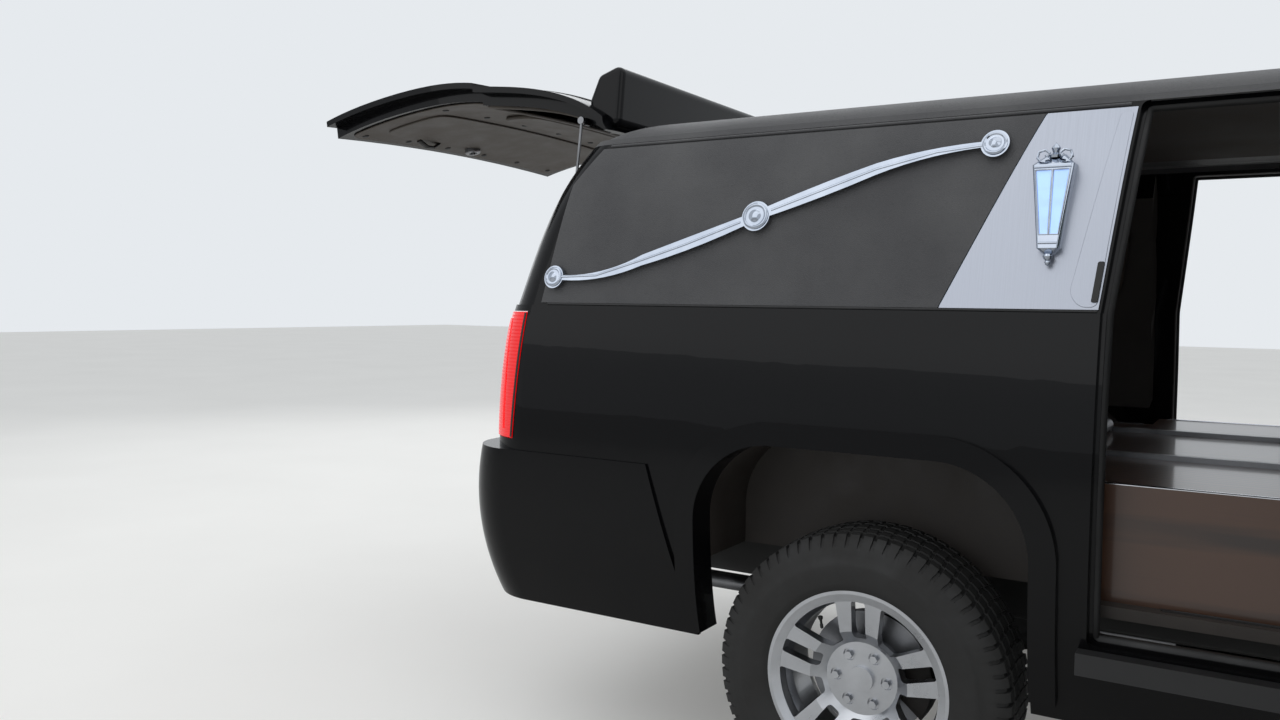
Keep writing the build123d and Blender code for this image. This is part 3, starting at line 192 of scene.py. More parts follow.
def makePlain(slot):
    name, first, second, metallic, smooth, rough, grainMm, heightMm, coat = plainFinishes[slot]
    finish, tree, shader, place = newFinish(name, {"Metallic": metallic, "Coat Weight": coat, "Coat Roughness": 0.08})
    cloud = addNode(tree, "ShaderNodeTexNoise", {"Scale": 9.0, "Detail": 6.0, "Roughness": 0.62}, {"Vector": place})
    tone = addNode(tree, "ShaderNodeMapRange", {"From Min": 0.32, "From Max": 0.68}, {"Value": cloud.outputs["Fac"]})
    colour = addNode(tree, "ShaderNodeMix", {"data_type": "RGBA", 6: linear(first), 7: linear(second)},
                     {0: tone.outputs[0]})
    tree.links.new(colour.outputs[2], shader.inputs["Base Color"])
    gloss = addNode(tree, "ShaderNodeMapRange", {"To Min": smooth, "To Max": rough}, {"Value": tone.outputs[0]})
    tree.links.new(gloss.outputs[0], shader.inputs["Roughness"])
    if heightMm:
        grain = addNode(tree, "ShaderNodeTexVoronoi", {"Scale": 1000 / grainMm}, {"Vector": place})
        bump = addNode(tree, "ShaderNodeBump", {"Strength": 0.4, "Distance": heightMm / 1000},
                       {"Height": grain.outputs["Distance"]})
        tree.links.new(bump.outputs[0], shader.inputs["Normal"])
    return finish


# Laminated walnut board, lacquered: long grain with darker pores
walnut = {"light": "472C1B", "dark": "22130A", "ringMm": 45, "poreDeep": 0.0002}


def makeWalnut():
    finish, tree, shader, place = newFinish("lacquered walnut board", {"Roughness": 0.34, "Coat Weight": 0.5,
                                                                       "Coat Roughness": 0.1})
    longGrain = addNode(tree, "ShaderNodeMapping", {"Scale": (0.6, 9.0, 9.0)}, {"Vector": place})
    waveRings = 20  # rings that a wave texture draws at a scale of 1
    rings = addNode(tree, "ShaderNodeTexWave", {"Scale": 1000 / walnut["ringMm"] / waveRings, "Distortion": 5.0,
                                                "Detail": 4.0, "bands_direction": "Y"},
                    {"Vector": longGrain.outputs[0]})
    colour = addNode(tree, "ShaderNodeValToRGB", links={"Fac": rings.outputs["Fac"]})
    setRamp(colour, [(0.1, linear(walnut["dark"])), (0.8, linear(walnut["light"]))])
    tree.links.new(colour.outputs[0], shader.inputs["Base Color"])
    bump = addNode(tree, "ShaderNodeBump", {"Strength": 0.2, "Distance": walnut["poreDeep"]},
                   {"Height": rings.outputs["Fac"]})
    tree.links.new(bump.outputs[0], shader.inputs["Normal"])
    return finish


# Glass and lenses: clean and smooth, lit ones with a glow, ribbed ones with a number of ribs to the metre
def makeGlass(name, colour, transmission, roughness, glow=None, strength=0.0, rib=0):
    settings = {"Base Color": linear(colour), "Transmission Weight": transmission, "IOR": 1.5}
    if glow:
        settings["Emission Color"] = linear(glow)
        settings["Emission Strength"] = strength
    finish, tree, shader, place = newFinish(name, settings)
    smudge = addNode(tree, "ShaderNodeTexNoise", {"Scale": 5.0, "Detail": 5.0}, {"Vector": place})
    gloss = addNode(tree, "ShaderNodeMapRange", {"To Min": roughness, "To Max": roughness + 0.04},
                    {"Value": smudge.outputs["Fac"]})
    tree.links.new(gloss.outputs[0], shader.inputs["Roughness"])
    if rib:
        waves = addNode(tree, "ShaderNodeTexWave", {"Scale": rib, "bands_direction": "Z"}, {"Vector": place})
        bump = addNode(tree, "ShaderNodeBump", {"Strength": 0.6, "Distance": 0.002}, {"Height": waves.outputs["Fac"]})
        tree.links.new(bump.outputs[0], shader.inputs["Normal"])
    return finish


finishes = {slot: makePlain(slot) for slot in plainFinishes}
# Slot of the record that stands for a finish which only the scene has
finishes["body_paint"] = makeEnamel()
finishes["vinyl"] = makeVinyl()
finishes["brushed_panel"] = makeStainless()
finishes["deck_board"] = makeWalnut()
finishes["glass"] = makeGlass("tinted glass", "4A5250", 0.94, 0.0)
finishes["dark_glass"] = makeGlass("privacy glass, dyed nearly black", "101213", 0.35, 0.02)
finishes["screen_glass"] = makeGlass("clear laminated glass", "B9C4C2", 0.96, 0.0)
finishes["amber_lens"] = makeGlass("amber polycarbonate", "C25A0A", 0.4, 0.06, rib=14)
finishes["lamp_glass"] = makeGlass("lit frosted glass", "8FA9CC", 0.2, 0.4, "A8C8FF", 0.8)
finishes["red_lens"] = makeGlass("lit red polycarbonate", "9A0308", 0.25, 0.08, "FF1216", 0.5, 28)
finishes["red_light"] = makeGlass("red light guide", "C40A0E", 0.2, 0.1, "FF0C0C", 0.9)
finishes["clear_lens"] = makeGlass("clear polycarbonate", "D5D9DD", 0.92, 0.01)

nodeFinish = {"gate_glass": "dark_glass", "windscreen": "screen_glass"}
sharpAngle = 28
for entry in frame["record"]["subparts"]:
    mesh = nodes[entry["node"]].data
    mesh.materials.clear()
    mesh.materials.append(finishes[nodeFinish.get(entry["node"], entry["material_slot"])])
    mesh.polygons.foreach_set("use_smooth", [True] * len(mesh.polygons))
    mesh.set_sharp_from_angle(angle=math.radians(sharpAngle))
print("materials made:", len(finishes))


def at(x, y, z):
    # A point of the drawing, millimetres from the rear axle on the ground, in metres of the frame
    return Vector((x / 1000 + shift, y / 1000, z / 1000))


making = {"weld": 0.00002, "rimAngle": 55, "rimSteps": 2}  # weld in metres


def newPiece(name, shapes, finish, body, smooth=35, rim=0.0):
    # Shapes are pairs of corners in metres and faces; rim is a rounded edge in millimetres
    verts, faces = [], []
    for corners, polygons in shapes:
        start = len(verts)
        verts += [tuple(corner) for corner in corners]
        faces += [[start + i for i in face] for face in polygons]
    mesh = bpy.data.meshes.new(name)
    mesh.from_pydata(verts, [], faces)
    work = bmesh.new()
    work.from_mesh(mesh)
    bmesh.ops.remove_doubles(work, verts=work.verts, dist=making["weld"])
    bmesh.ops.recalc_face_normals(work, faces=work.faces)
    work.to_mesh(mesh)
    work.free()
    piece = bpy.data.objects.new(name, mesh)
    bpy.context.scene.collection.objects.link(piece)
    mesh.materials.append(finishes[finish])
    mesh.polygons.foreach_set("use_smooth", [True] * len(mesh.polygons))
    mesh.set_sharp_from_angle(angle=math.radians(smooth))
    if rim:
        bevel = piece.modifiers.new("rim", "BEVEL")
        bevel.width = rim / 1000
        bevel.segments = making["rimSteps"]
        bevel.limit_method = "ANGLE"
        bevel.angle_limit = math.radians(making["rimAngle"])
    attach(piece, body)
    return piece


def treeOf(*names):
    # The surface of some CAD nodes, for lines to be sent at
    verts, faces = [], []
    for name in names:
        start = len(verts)
        mesh = nodes[name].data
        verts += [v.co.copy() for v in mesh.vertices]
        faces += [[start + i for i in face.vertices] for face in mesh.polygons]
    return BVHTree.FromPolygons(verts, faces)


missReach = 0.4  # metres


def send(tree, start, aim, turn=None):
    # Where a line meets a surface, and the surface's outward direction there; a miss takes the nearest place
    start, aim = Vector(start), Vector(aim)
    if turn:
        start, aim = turn @ start, turn.to_3x3() @ aim
    hit, normal = tree.ray_cast(start, aim)[:2]
    if hit is None:
        hit, normal = tree.find_nearest(start + aim * missReach)[:2]
    if normal.dot(aim) > 0:
        normal = -normal
    return hit, normal


def swing(joint, degrees):
    # The turn about a joint by some degrees
    axis, place = Vector(joints[joint]["axis"]), Vector(joints[joint]["pos_m"])
    return Matrix.Translation(place) @ Matrix.Rotation(math.radians(degrees), 4, axis) @ Matrix.Translation(-place)


def rounded(points, radius, steps=5):
    # An outline with its corners rounded, by less than half of each side
    result = []
    for number, corner in enumerate(points):
        before, here = Vector(points[number - 1]), Vector(corner)
        after = Vector(points[(number + 1) % len(points)])
        reach = min(radius, (before - here).length * 0.45, (after - here).length * 0.45)
        start = here + (before - here).normalized() * reach
        end = here + (after - here).normalized() * reach
        for step in range(steps + 1):
            t = step / steps
            result.append(tuple(start * (1 - t) ** 2 + here * 2 * t * (1 - t) + end * t * t))
    return result


def box2d(a0, a1, b0, b1, radius=0):
    # A box's outline, its corners rounded where a radius is given
    points = [(a0, b0), (a1, b0), (a1, b1), (a0, b1)]
    return rounded(points, radius) if radius else points


def inset(points, amount):
    # An outline drawn in by some millimetres, its corners mitred
    area = sum(a[0] * b[1] - b[0] * a[1] for a, b in zip(points, points[1:] + points[:1]))
    sign = 1 if area > 0 else -1
    result = []
    for number, here in enumerate(points):
        here = Vector(here)
        first = (here - Vector(points[number - 1])).normalized()
        second = (Vector(points[(number + 1) % len(points)]) - here).normalized()
        normals = Vector((-first.y, first.x)), Vector((-second.y, second.x))
        result.append(tuple(here + (normals[0] + normals[1]) * (sign * amount / (1 + normals[0].dot(normals[1])))))
    return result


def walk(points, step, closed=False):
    # The same line with a point at least every step
    result = []
    for a, b in zip(points, points[1:] + (points[:1] if closed else [])):
        a, b = Vector(a), Vector(b)
        count = max(1, math.ceil((b - a).length / step))
        result += [tuple(a.lerp(b, i / count)) for i in range(count)]
    return result if closed else result + [tuple(points[-1])]


def sweepShape(path, profile, closed=False):
    # path: pairs of a place and an outward direction; profile: pairs across and outward in millimetres
    count, rows = len(path), len(profile)
    verts, faces = [], []
    for number, (place, up) in enumerate(path):
        before = path[number - 1 if closed or number else 0][0]
        after = path[(number + 1) % count if closed else min(number + 1, count - 1)][0]
        along = (after - before).normalized()
        across = along.cross(up).normalized()
        up = across.cross(along)
        verts += [place + across * (a / 1000) + up * (b / 1000) for a, b in profile]
    for i in range(count if closed else count - 1):
        j = (i + 1) % count
        faces += [(i * rows + k, i * rows + (k + 1) % rows, j * rows + (k + 1) % rows, j * rows + k)
                  for k in range(rows)]
    if not closed:
        faces += [tuple(range(rows)), tuple(range((count - 1) * rows, count * rows))]
    return verts, faces


def latheShape(section, centre, axis, turns=32):
    # section: pairs of distance along the axis and radius in millimetres
    axis = Vector(axis).normalized()
    first = axis.orthogonal().normalized()
    second = axis.cross(first)
    verts, faces = [], []
    for along, radius in section:
        for turn in range(turns):
            angle = 2 * math.pi * turn / turns
            out = first * math.cos(angle) + second * math.sin(angle)
            verts.append(centre + axis * (along / 1000) + out * (radius / 1000))
    for row in range(len(section) - 1):
        for turn in range(turns):
            after = (turn + 1) % turns
            faces.append((row * turns + turn, row * turns + after, (row + 1) * turns + after,
                          (row + 1) * turns + turn))
    for row in (0, len(section) - 1):
        if section[row][1] > 0.01:
            faces.append(tuple(range(row * turns, (row + 1) * turns)))
    return verts, faces


def slabShape(outline, place, thick, rim=2.0):
    # A plate with rounded edges; place turns two numbers across and one up into metres
    rings = [(0, 0), (0, thick - rim), (rim * 0.3, thick - rim * 0.3), (rim, thick)]
    verts, faces = [], []
    count = len(outline)
    for drawn, up in rings:
        verts += [place(a, b, up) for a, b in (inset(outline, drawn) if drawn else outline)]
    for ring in range(len(rings) - 1):
        for number in range(count):
            after = (number + 1) % count
            faces.append((ring * count + number, ring * count + after, (ring + 1) * count + after,
                          (ring + 1) * count + number))
    faces += [tuple(range(count)), tuple(range((len(rings) - 1) * count, len(rings) * count))]
    return verts, faces


def drapeShape(outline, find, lift, thick, grid=60):
    # A sheet cut to an outline and laid on the surface that find(a, b) gives, all in millimetres
    sheet = bmesh.new()
    sheet.faces.new([sheet.verts.new((a, b, 0)) for a, b in outline])
    for axis in (0, 1):
        low, high = min(p[axis] for p in outline), max(p[axis] for p in outline)
        count = int((high - low) // grid)
        for line in range(1, count + 1):
            spot, across = [0, 0, 0], [0, 0, 0]
            spot[axis], across[axis] = low + line * (high - low) / (count + 1), 1
            bmesh.ops.bisect_plane(sheet, geom=sheet.verts[:] + sheet.edges[:] + sheet.faces[:],
                                   plane_co=spot, plane_no=across)
    sheet.verts.index_update()
    found = [find(v.co.x, v.co.y) for v in sheet.verts]
    count = len(found)
    verts = [place + up * ((lift + thick) / 1000) for place, up in found]
    verts += [place + up * (lift / 1000) for place, up in found]
    faces = []
    for face in sheet.faces:
        faces.append([v.index for v in face.verts])
        faces.append([v.index + count for v in reversed(face.verts)])
    for edge in sheet.edges:
        if edge.is_boundary:
            a, b = (v.index for v in edge.verts)
            faces.append([a, b, b + count, a + count])
    sheet.free()
    return verts, faces


halfRound = [(math.cos(math.pi * i / 6), math.sin(math.pi * i / 6)) for i in range(7)]


def bead(width, height):
    # Half-round profile, its flat side on the surface
    return [(c * width / 2, s * height) for c, s in halfRound]


# Tyres: lathed section with grooves round the tread and notches across it, all in millimetres
tyre = {"radius": 400.7, "half": 132.5, "bead": 229, "grooveDepth": 9, "grooveWidth": 9,
        "grooves": (-74, -28, 28, 74), "pitches": 68, "notchShare": 0.16, "lean": 0.35, "shoulder": 150, "crown": 5,
        "treadHalf": 104,
        # wall: drawn in from the half width, height over the bead, depth of a notch
        "wall": ((30.5, 2, 0), (15.5, 22, 0), (7, 34, 0), (6, 40, 0), (1.5, 62, 0), (0.5, 84, 0), (1, 96, 0),
                 (3, 99, 0), (5, 118, 0), (9, 136, 2), (13, 146, 7), (19, 157, 8))}


def tyreSection():
    # Pairs of distance along the axle and radius, from one bead over the tread to the other,
    # with the depth by which a notch lowers each point
    wall = [(drawn - tyre["half"], tyre["bead"] + height, notch) for drawn, height, notch in tyre["wall"]]
    tread = [(-tyre["treadHalf"], 0, 8), (-92, 0, 7)]
    for middle in tyre["grooves"]:
        half = tyre["grooveWidth"] / 2
        tread += [(middle - half - 1, 0, 3), (middle - half + 1, tyre["grooveDepth"], 0),
                  (middle + half - 1, tyre["grooveDepth"], 0), (middle + half + 1, 0, 3)]
        if middle < 60:
            tread.append((middle + 23, 0, 2.5))
    tread += [(92, 0, 7), (tyre["treadHalf"], 0, 8)]
    crowned = [(along, tyre["radius"] - tyre["crown"] * (along / tyre["treadHalf"]) ** 2 - sunk, notch)
               for along, sunk, notch in tread]
    return wall + crowned + [(-along, radius, notch) for along, radius, notch in reversed(wall)]


def makeTyre(name, body, node, centre, sign):
    section = tyreSection()
    steps = (0.0, 1 - 2 * tyre["notchShare"], 1 - 1.8 * tyre["notchShare"], 1 - 0.2 * tyre["notchShare"])
    verts = []
    for pitch in range(tyre["pitches"]):
        for number, step in enumerate(steps):
            for along, radius, notch in section:
                lean = tyre["lean"] * (abs(along) / 100 if radius > tyre["bead"] + tyre["shoulder"] else 1)
                turn = 2 * math.pi * (pitch + step + lean) / tyre["pitches"]
                r = radius - (notch if number >= 2 else 0)
                verts.append(((r * math.sin(turn)) / 1000, sign * along / 1000, (r * math.cos(turn)) / 1000))
    columns = tyre["pitches"] * len(steps)
    rows = len(section)
    faces = []
    for column in range(columns):
        after = (column + 1) % columns
        for row in range(rows - 1):
            quad = (column * rows + row, column * rows + row + 1, after * rows + row + 1, after * rows + row)
            faces.append(quad if sign > 0 else quad[::-1])
        closing = (column * rows + rows - 1, column * rows, after * rows, after * rows + rows - 1)
        faces.append(closing if sign > 0 else closing[::-1])
    verts = [tuple(Vector(v) + centre) for v in verts]
    piece = newPiece(name, [(verts, faces)], "tyre", body, 32)
    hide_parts(node)


for end in ("rear", "front"):
    for side, sign in sides.items():
        centre = Vector(joints[f"wheel_{end}_{side}_spin"]["pos_m"])
        makeTyre(f"road_tyre_{end}_{side}", f"wheel_{end}_{side}", f"tyre_{end}_{side}", centre, sign)
print("tyres made")

# Lines sent at the skin: from the side at (x, z), from behind or ahead at (y, z), from above at (x, y)
restAngles = {"rearDoor": 68, "liftgate": 81.5}  # degrees by which these stand open at rest
sendFrom = {"side": 1500, "behind": -2000, "ahead": 5200}
doorTurn = {side: swing(f"rear_door_{side}_hinge", -sign * restAngles["rearDoor"]) for side, sign in sides.items()}
gateTurn = swing("liftgate_hinge", restAngles["liftgate"])


def fromSide(tree, sign, turn=None, within=False):
    start, aim = (0, sign) if within else (sign * sendFrom["side"], -sign)
    return lambda x, z: send(tree, at(x, start, z), (0, aim, 0), turn)


def fromEnd(tree, x, aim, turn=None):
    return lambda y, z: send(tree, at(x, y, z), (aim, 0, 0), turn)


def fromBehind(tree, turn=None):
    return fromEnd(tree, sendFrom["behind"], 1, turn)


def fromAhead(*names):
    return fromEnd(treeOf(*names), sendFrom["ahead"], -1)


def fromAbove(tree, z, aim=-1):
    return lambda x, y: send(tree, at(x, y, z), (0, 0, aim))


def follow(find, points, step, closed=False):
    # A line drawn on the surface, as places and outward directions
    return [find(a, b) for a, b in walk(points, step, closed)]


def raised(line, height, drop=0.0):
    # The line lifted by some millimetres, and by less at each next point where it drops
    return [(place + up * ((height - drop * number) / 1000), up) for number, (place, up) in enumerate(line)]


def layPlate(name, find, box, lift, thick, grid, finish, body="root", rim=0.0):
    # A plate laid on a surface; box is its two ends across, two heights and the corners' radius
    newPiece(name, [drapeShape(box2d(*box), find, lift, thick, grid)], finish, body, rim=rim)


def sideBox(sign, inner, outer, low, high, radius):
    # A box on one side of the car, measured out from the middle
    return (*sorted((sign * inner, sign * outer)), low, high, radius)


def rod(radius, corners=8):
    return [(math.cos(2 * k * math.pi / corners) * radius, math.sin(2 * k * math.pi / corners) * radius)
            for k in range(corners)]


# Belt moulding, the bright panel's front strip with its rounded foot, the striker's rubber plate, and the welts
# between the vinyl and the bright panel and along the vinyl's upper edge
panelTrim = {"beltZ": 1389, "beltEnds": (-1040, 550), "beltWide": 9, "beltHigh": 4, "stripThick": 1.6,
             "stripCorner": 26, "strip": [(571, 1868), (598, 1868), (550, 1398), (510, 1398), (487, 1430)],
             "plate": [(536, 1409), (551, 1409), (561, 1505), (546, 1505)], "plateThick": 3.0,
             "welt": [(184, 1397), (399, 1874)], "roofWelt": [(-900, 1886), (590, 1886)]}
bodySide = treeOf("rear_quarters", "landau_panels", "steel_panels", "door_frames", "roof")
for side, sign in sides.items():
    find = fromSide(bodySide, sign)
    belt = follow(find, [(x, panelTrim["beltZ"]) for x in panelTrim["beltEnds"]], 40)
    newPiece(f"belt_moulding_{side}", [sweepShape(belt, bead(panelTrim["beltWide"], panelTrim["beltHigh"]))],
             "trim_black", "root")
    strip = rounded(panelTrim["strip"], panelTrim["stripCorner"])
    newPiece(f"panel_strip_{side}", [drapeShape(strip, find, 0.2, panelTrim["stripThick"], 80)], "brushed_panel",
             "root", rim=0.7)
    plate = drapeShape(rounded(panelTrim["plate"], 5), find, 1.8, panelTrim["plateThick"])
    newPiece(f"striker_plate_{side}", [plate], "seal", "root", rim=1.0)
    newPiece(f"panel_welt_{side}", [sweepShape(follow(find, panelTrim["welt"], 40), bead(5, 3))], "chrome", "root")
    newPiece(f"roof_welt_{side}", [sweepShape(follow(find, panelTrim["roofWelt"], 50), bead(9, 4.5))], "vinyl",
             "root")

# Rubber seals and linings on the stepped edges of the door openings
doorSeal = {"drawnIn": 6, "corner": 14, "depth": 37, "wide": 22, "high": 13, "liningDepth": 67,
            "lining": [(-17, -1), (-17, 2), (-13, 4), (13, 4), (17, 2), (17, -1)]}
skinRows = [(400, 925), (646, 986), (892, 1000), (1139, 991), (1385, 952), (1560, 911), (1735, 865), (1893, 803)]


def skinHalf(z):
    # Half width of the body at a height, from its drawing
    for low, high in zip(skinRows, skinRows[1:]):
        if z <= high[0]:
            return low[1] + (high[1] - low[1]) * (z - low[0]) / (high[0] - low[0])
    return skinRows[-1][1]


rearDoor = [(563, 610), (563, 1385), (618, 1888), (1590, 1888), (1590, 610)]
frontDoor = [(1600, 610), (1600, 1888), (1965, 1888), (2590, 1385), (2642, 1325), (2642, 610)]
rearWindow = [(648, 1405), (693, 1828), (1515, 1828), (1515, 1405)]
frontWindow = [(1675, 1405), (1675, 1828), (1950, 1828), (2425, 1455), (2425, 1405)]
for side, sign in sides.items():
    for end, outline in (("rear", rearDoor), ("front", frontDoor)):
        edge = walk(rounded(inset(outline, doorSeal["drawnIn"]), doorSeal["corner"]), 45, True)
        inward = [Vector((b[0] - a[0], 0, b[1] - a[1])).normalized() for a, b in zip(edge, inset(edge, 1))]
        for kind, depth, profile, finish in (
                ("seal", doorSeal["depth"], bead(doorSeal["wide"], doorSeal["high"]), "seal"),
                ("lining", doorSeal["liningDepth"], doorSeal["lining"], "interior_trim")):
            line = [(at(x, sign * (skinHalf(z) - depth), z), up) for (x, z), up in zip(edge, inward)]
            newPiece(f"{end}_opening_{kind}_{side}", [sweepShape(line, profile, True)], finish, "root")
print("panel trims and door seals made")

# Doors: window surrounds, garnish and card inside with its armrest, pocket, veneer, speaker and handle
doorTrim = {
    "mouldingOut": 15, "moulding": [(-9, 0), (-9, 2.2), (-6, 3.6), (4, 3.6), (8, 1.2), (8, 0)],
    "garnishOut": 17, "garnish": [(-14, 0), (-14, 4), (-10, 7), (10, 7), (14, 4), (14, 0)],
    "windowCorner": 30, "margin": 48,
    # drawn in from the rear and the front end, low and high edge, corner, lift, thickness, finish, rim
    "plates": {
        "card": (0, 0, 704, 1372, 45, 0.4, 5, "interior_trim", 2),
        "armrest": (70, 60, 1080, 1200, 40, 5, 32, "seat_leather", 10),
        "pocket": (90, 240, 730, 850, 40, 5, 20, "interior_trim", 7),
        "veneer": (70, 60, 1232, 1284, 18, 5, 4, "deck_board", 1.5),
    },
    "speaker": (140, 840), "speakerRim": [(4, 92), (9, 92), (11, 86), (8, 80), (8.99, 79.5)],
    "speakerRings": 6, "ringPitch": 11, "ring": [(6, 76), (9, 75), (9, 71), (6, 70)],
    "handle": (150, 1320), "handleCup": [(4, 40), (8, 40), (8, 34), (5, 30)],
    "handleBar": [(-7, -2), (-7, 2), (-4, 4), (4, 4), (7, 2), (7, -2)],
    "foot": 668, "footMoulding": [(-26, 0), (-24, 7), (-16, 10), (16, 10), (24, 7), (26, 0)],
}


def makeDoorTrim(side, sign, end, outline, window, turn):
    body = f"{end}_door_{side}"
    tree = treeOf(body)
    outer, inner = fromSide(tree, sign, turn), fromSide(tree, sign, turn, True)
    for kind, find, finish in (("moulding", outer, "trim_black"), ("garnish", inner, "interior_trim")):
        edge = rounded(inset(window, -doorTrim[kind + "Out"]), doorTrim["windowCorner"])
        newPiece(f"{end}_window_{kind}_{side}", [sweepShape(follow(find, edge, 45, True), doorTrim[kind], True)],
                 finish, body)
    low = min(p[0] for p in outline) + doorTrim["margin"]
    high = max(p[0] for p in outline) - doorTrim["margin"]
    for kind, (rear, front, foot, top, corner, lift, thick, finish, rim) in doorTrim["plates"].items():
        layPlate(f"{end}_door_{kind}_{side}", inner, (low + rear, high - front, foot, top, corner), lift, thick, 70,
                 finish, body, rim)
    place, up = inner(high - doorTrim["speaker"][0], doorTrim["speaker"][1])
    rings = [latheShape(doorTrim["speakerRim"], place, up, 40)]
    for number in range(doorTrim["speakerRings"]):
        section = [(along, radius - doorTrim["ringPitch"] * number) for along, radius in doorTrim["ring"]]
        rings.append(latheShape(section, place, up, 40))
    newPiece(f"{end}_door_speaker_{side}", rings, "trim_black", body)
    place, up = inner(high - doorTrim["handle"][0], doorTrim["handle"][1])
    bar = [(place + up * 0.011 + Vector((0, 0, z / 1000)), up) for z in (-24, -8, 8, 24)]
    newPiece(f"{end}_inner_handle_{side}", [latheShape(doorTrim["handleCup"], place, up, 32),
                                            sweepShape(bar, doorTrim["handleBar"])], "chrome", body)
    foot = follow(outer, [(low - 30, doorTrim["foot"]), (high + 30, doorTrim["foot"])], 60)
    newPiece(f"{end}_door_moulding_{side}", [sweepShape(foot, doorTrim["footMoulding"])], "trim_black", body)


for side, sign in sides.items():
    makeDoorTrim(side, sign, "rear", rearDoor, rearWindow, doorTurn[side])
    makeDoorTrim(side, sign, "front", frontDoor, frontWindow, None)
print("door trims made")

# Liftgate: moulded trim inside with buttons, latch and pull; plate recess, garnish, wiper and stop lamp outside
gateTree = treeOf("liftgate")
gateIn, gateOut = fromEnd(gateTree, -600, -1, gateTurn), fromBehind(gateTree, gateTurn)
gateTrim = {
    # box, lift, thickness, grid, finish, rim
    "inner": {
        "gate_trim_lower": ((-655, 655, 668, 1388, 60), 0.4, 5, 70, "gate_trim", 2),
        "gate_trim_bulge": ((-330, 330, 1180, 1360, 60), 5, 16, 60, "gate_trim", 6),
        "gate_trim_swage": ((-560, 560, 760, 1080, 70), 5, 7, 60, "gate_trim", 4),
    },
    "outer": {
        "gate_garnish": ((-330, 330, 1076, 1106, 14), 0.3, 4.5, 60, "chrome", 2.5),
        "plate_recess": ((-290, 290, 890, 1072, 24), 0.3, 3, 60, "trim_black", 1.2),
        "rear_plate": ((-155, 155, 903, 1058, 12), 5, 2.2, 60, "blank_plate", 0.8),
    },
    "plateRim": (-149, 149, 909, 1052, 10), "windowCorner": 40,
    "garnishEdge": [(-668, 1392), (-611, 1803), (611, 1803), (668, 1392)],
    "garnish": [(-13, 0), (-13, 5), (-8, 9), (8, 9), (13, 5), (13, 0)],
    "sealEdge": [(-664, 1396), (-608, 1799), (608, 1799), (664, 1396)],
    "seal": [(-9, 0), (-9, 2), (-5, 3.4), (5, 3.4), (9, 2), (9, 0)],
    "buttonRows": (705, 1135), "buttonColumns": (-600, -360, -120, 120, 360, 600),
    "button": [(5, 13), (8, 12), (10, 7), (10.5, 0)],
    "latchZ": 742, "latchBody": [(5, 34), (22, 34), (26, 30), (26, 18), (12, 14)],
    "latchPin": [(5, 9), (32, 9), (34, 6), (34, 0)],
    "pullZ": 735, "pull": [(-11, -3), (-11, 3), (-6, 6), (6, 6), (11, 3), (11, -3)],
    "stopZ": 1942, "stop": [(-11, -1), (-10, 2), (-6, 3.4), (6, 3.4), (10, 2), (11, -1)],
}
for name, (box, lift, thick, grid, finish, rim) in gateTrim["inner"].items():
    layPlate(name, gateIn, box, lift, thick, grid, finish, "liftgate", rim)
line = follow(gateIn, rounded(gateTrim["garnishEdge"], gateTrim["windowCorner"]), 45, True)
newPiece("gate_window_garnish", [sweepShape(line, gateTrim["garnish"], True)], "gate_trim", "liftgate")
line = follow(gateOut, rounded(gateTrim["sealEdge"], gateTrim["windowCorner"]), 45, True)
newPiece("gate_window_seal", [sweepShape(line, gateTrim["seal"], True)], "seal", "liftgate")
buttons = [latheShape(gateTrim["button"], *gateIn(y, z), 20)
           for y in gateTrim["buttonColumns"] for z in gateTrim["buttonRows"]]
newPiece("gate_trim_buttons", buttons, "trim_black", "liftgate")
place, up = gateIn(0, gateTrim["latchZ"])
newPiece("gate_latch", [latheShape(gateTrim["latchBody"], place, up, 32),
                        latheShape(gateTrim["latchPin"], place, up, 20)], "bare_steel", "liftgate")
pull = [gateIn(y, gateTrim["pullZ"]) for y in (-330, -290, -250, -210)]
pull = [(place + up * height / 1000, up) for (place, up), height in zip(pull, (6, 28, 28, 6))]
newPiece("gate_pull", [sweepShape(pull, gateTrim["pull"])], "trim_black", "liftgate")
for name, (box, lift, thick, grid, finish, rim) in gateTrim["outer"].items():
    layPlate(name, gateOut, box, lift, thick, grid, finish, "liftgate", rim)
line = raised(follow(gateOut, box2d(*gateTrim["plateRim"]), 45, True), 7)
newPiece("rear_plate_rim", [sweepShape(line, bead(3, 1.4), True)], "blank_plate", "liftgate")
wiper = {"hubZ": 1812, "hub": [(0, 22), (10, 20), (15, 15), (16, 0)], "foot": (20, 1770), "reach": (430, -40),
         "parts": 8, "arm": [(-6, -3), (-6, 3), (-3, 6), (3, 6), (6, 3), (6, -3)],
         "blade": [(-9, -4), (-4, 5), (4, 5), (9, -4)]}
reach = [gateOut(*(a + b * k / wiper["parts"] for a, b in zip(wiper["foot"], wiper["reach"])))
         for k in range(wiper["parts"] + 1)]
newPiece("rear_wiper", [latheShape(wiper["hub"], *gateOut(0, wiper["hubZ"]), 28),
                        sweepShape(raised(reach, 15, 0.5), wiper["arm"]),
                        sweepShape(raised(reach[1:], 6), wiper["blade"])], "trim_black", "liftgate")
line = follow(gateOut, [(-190, gateTrim["stopZ"]), (190, gateTrim["stopZ"])], 40)
newPiece("high_stop_lamp", [sweepShape(line, gateTrim["stop"])], "red_lens", "liftgate")
print("liftgate trims made")

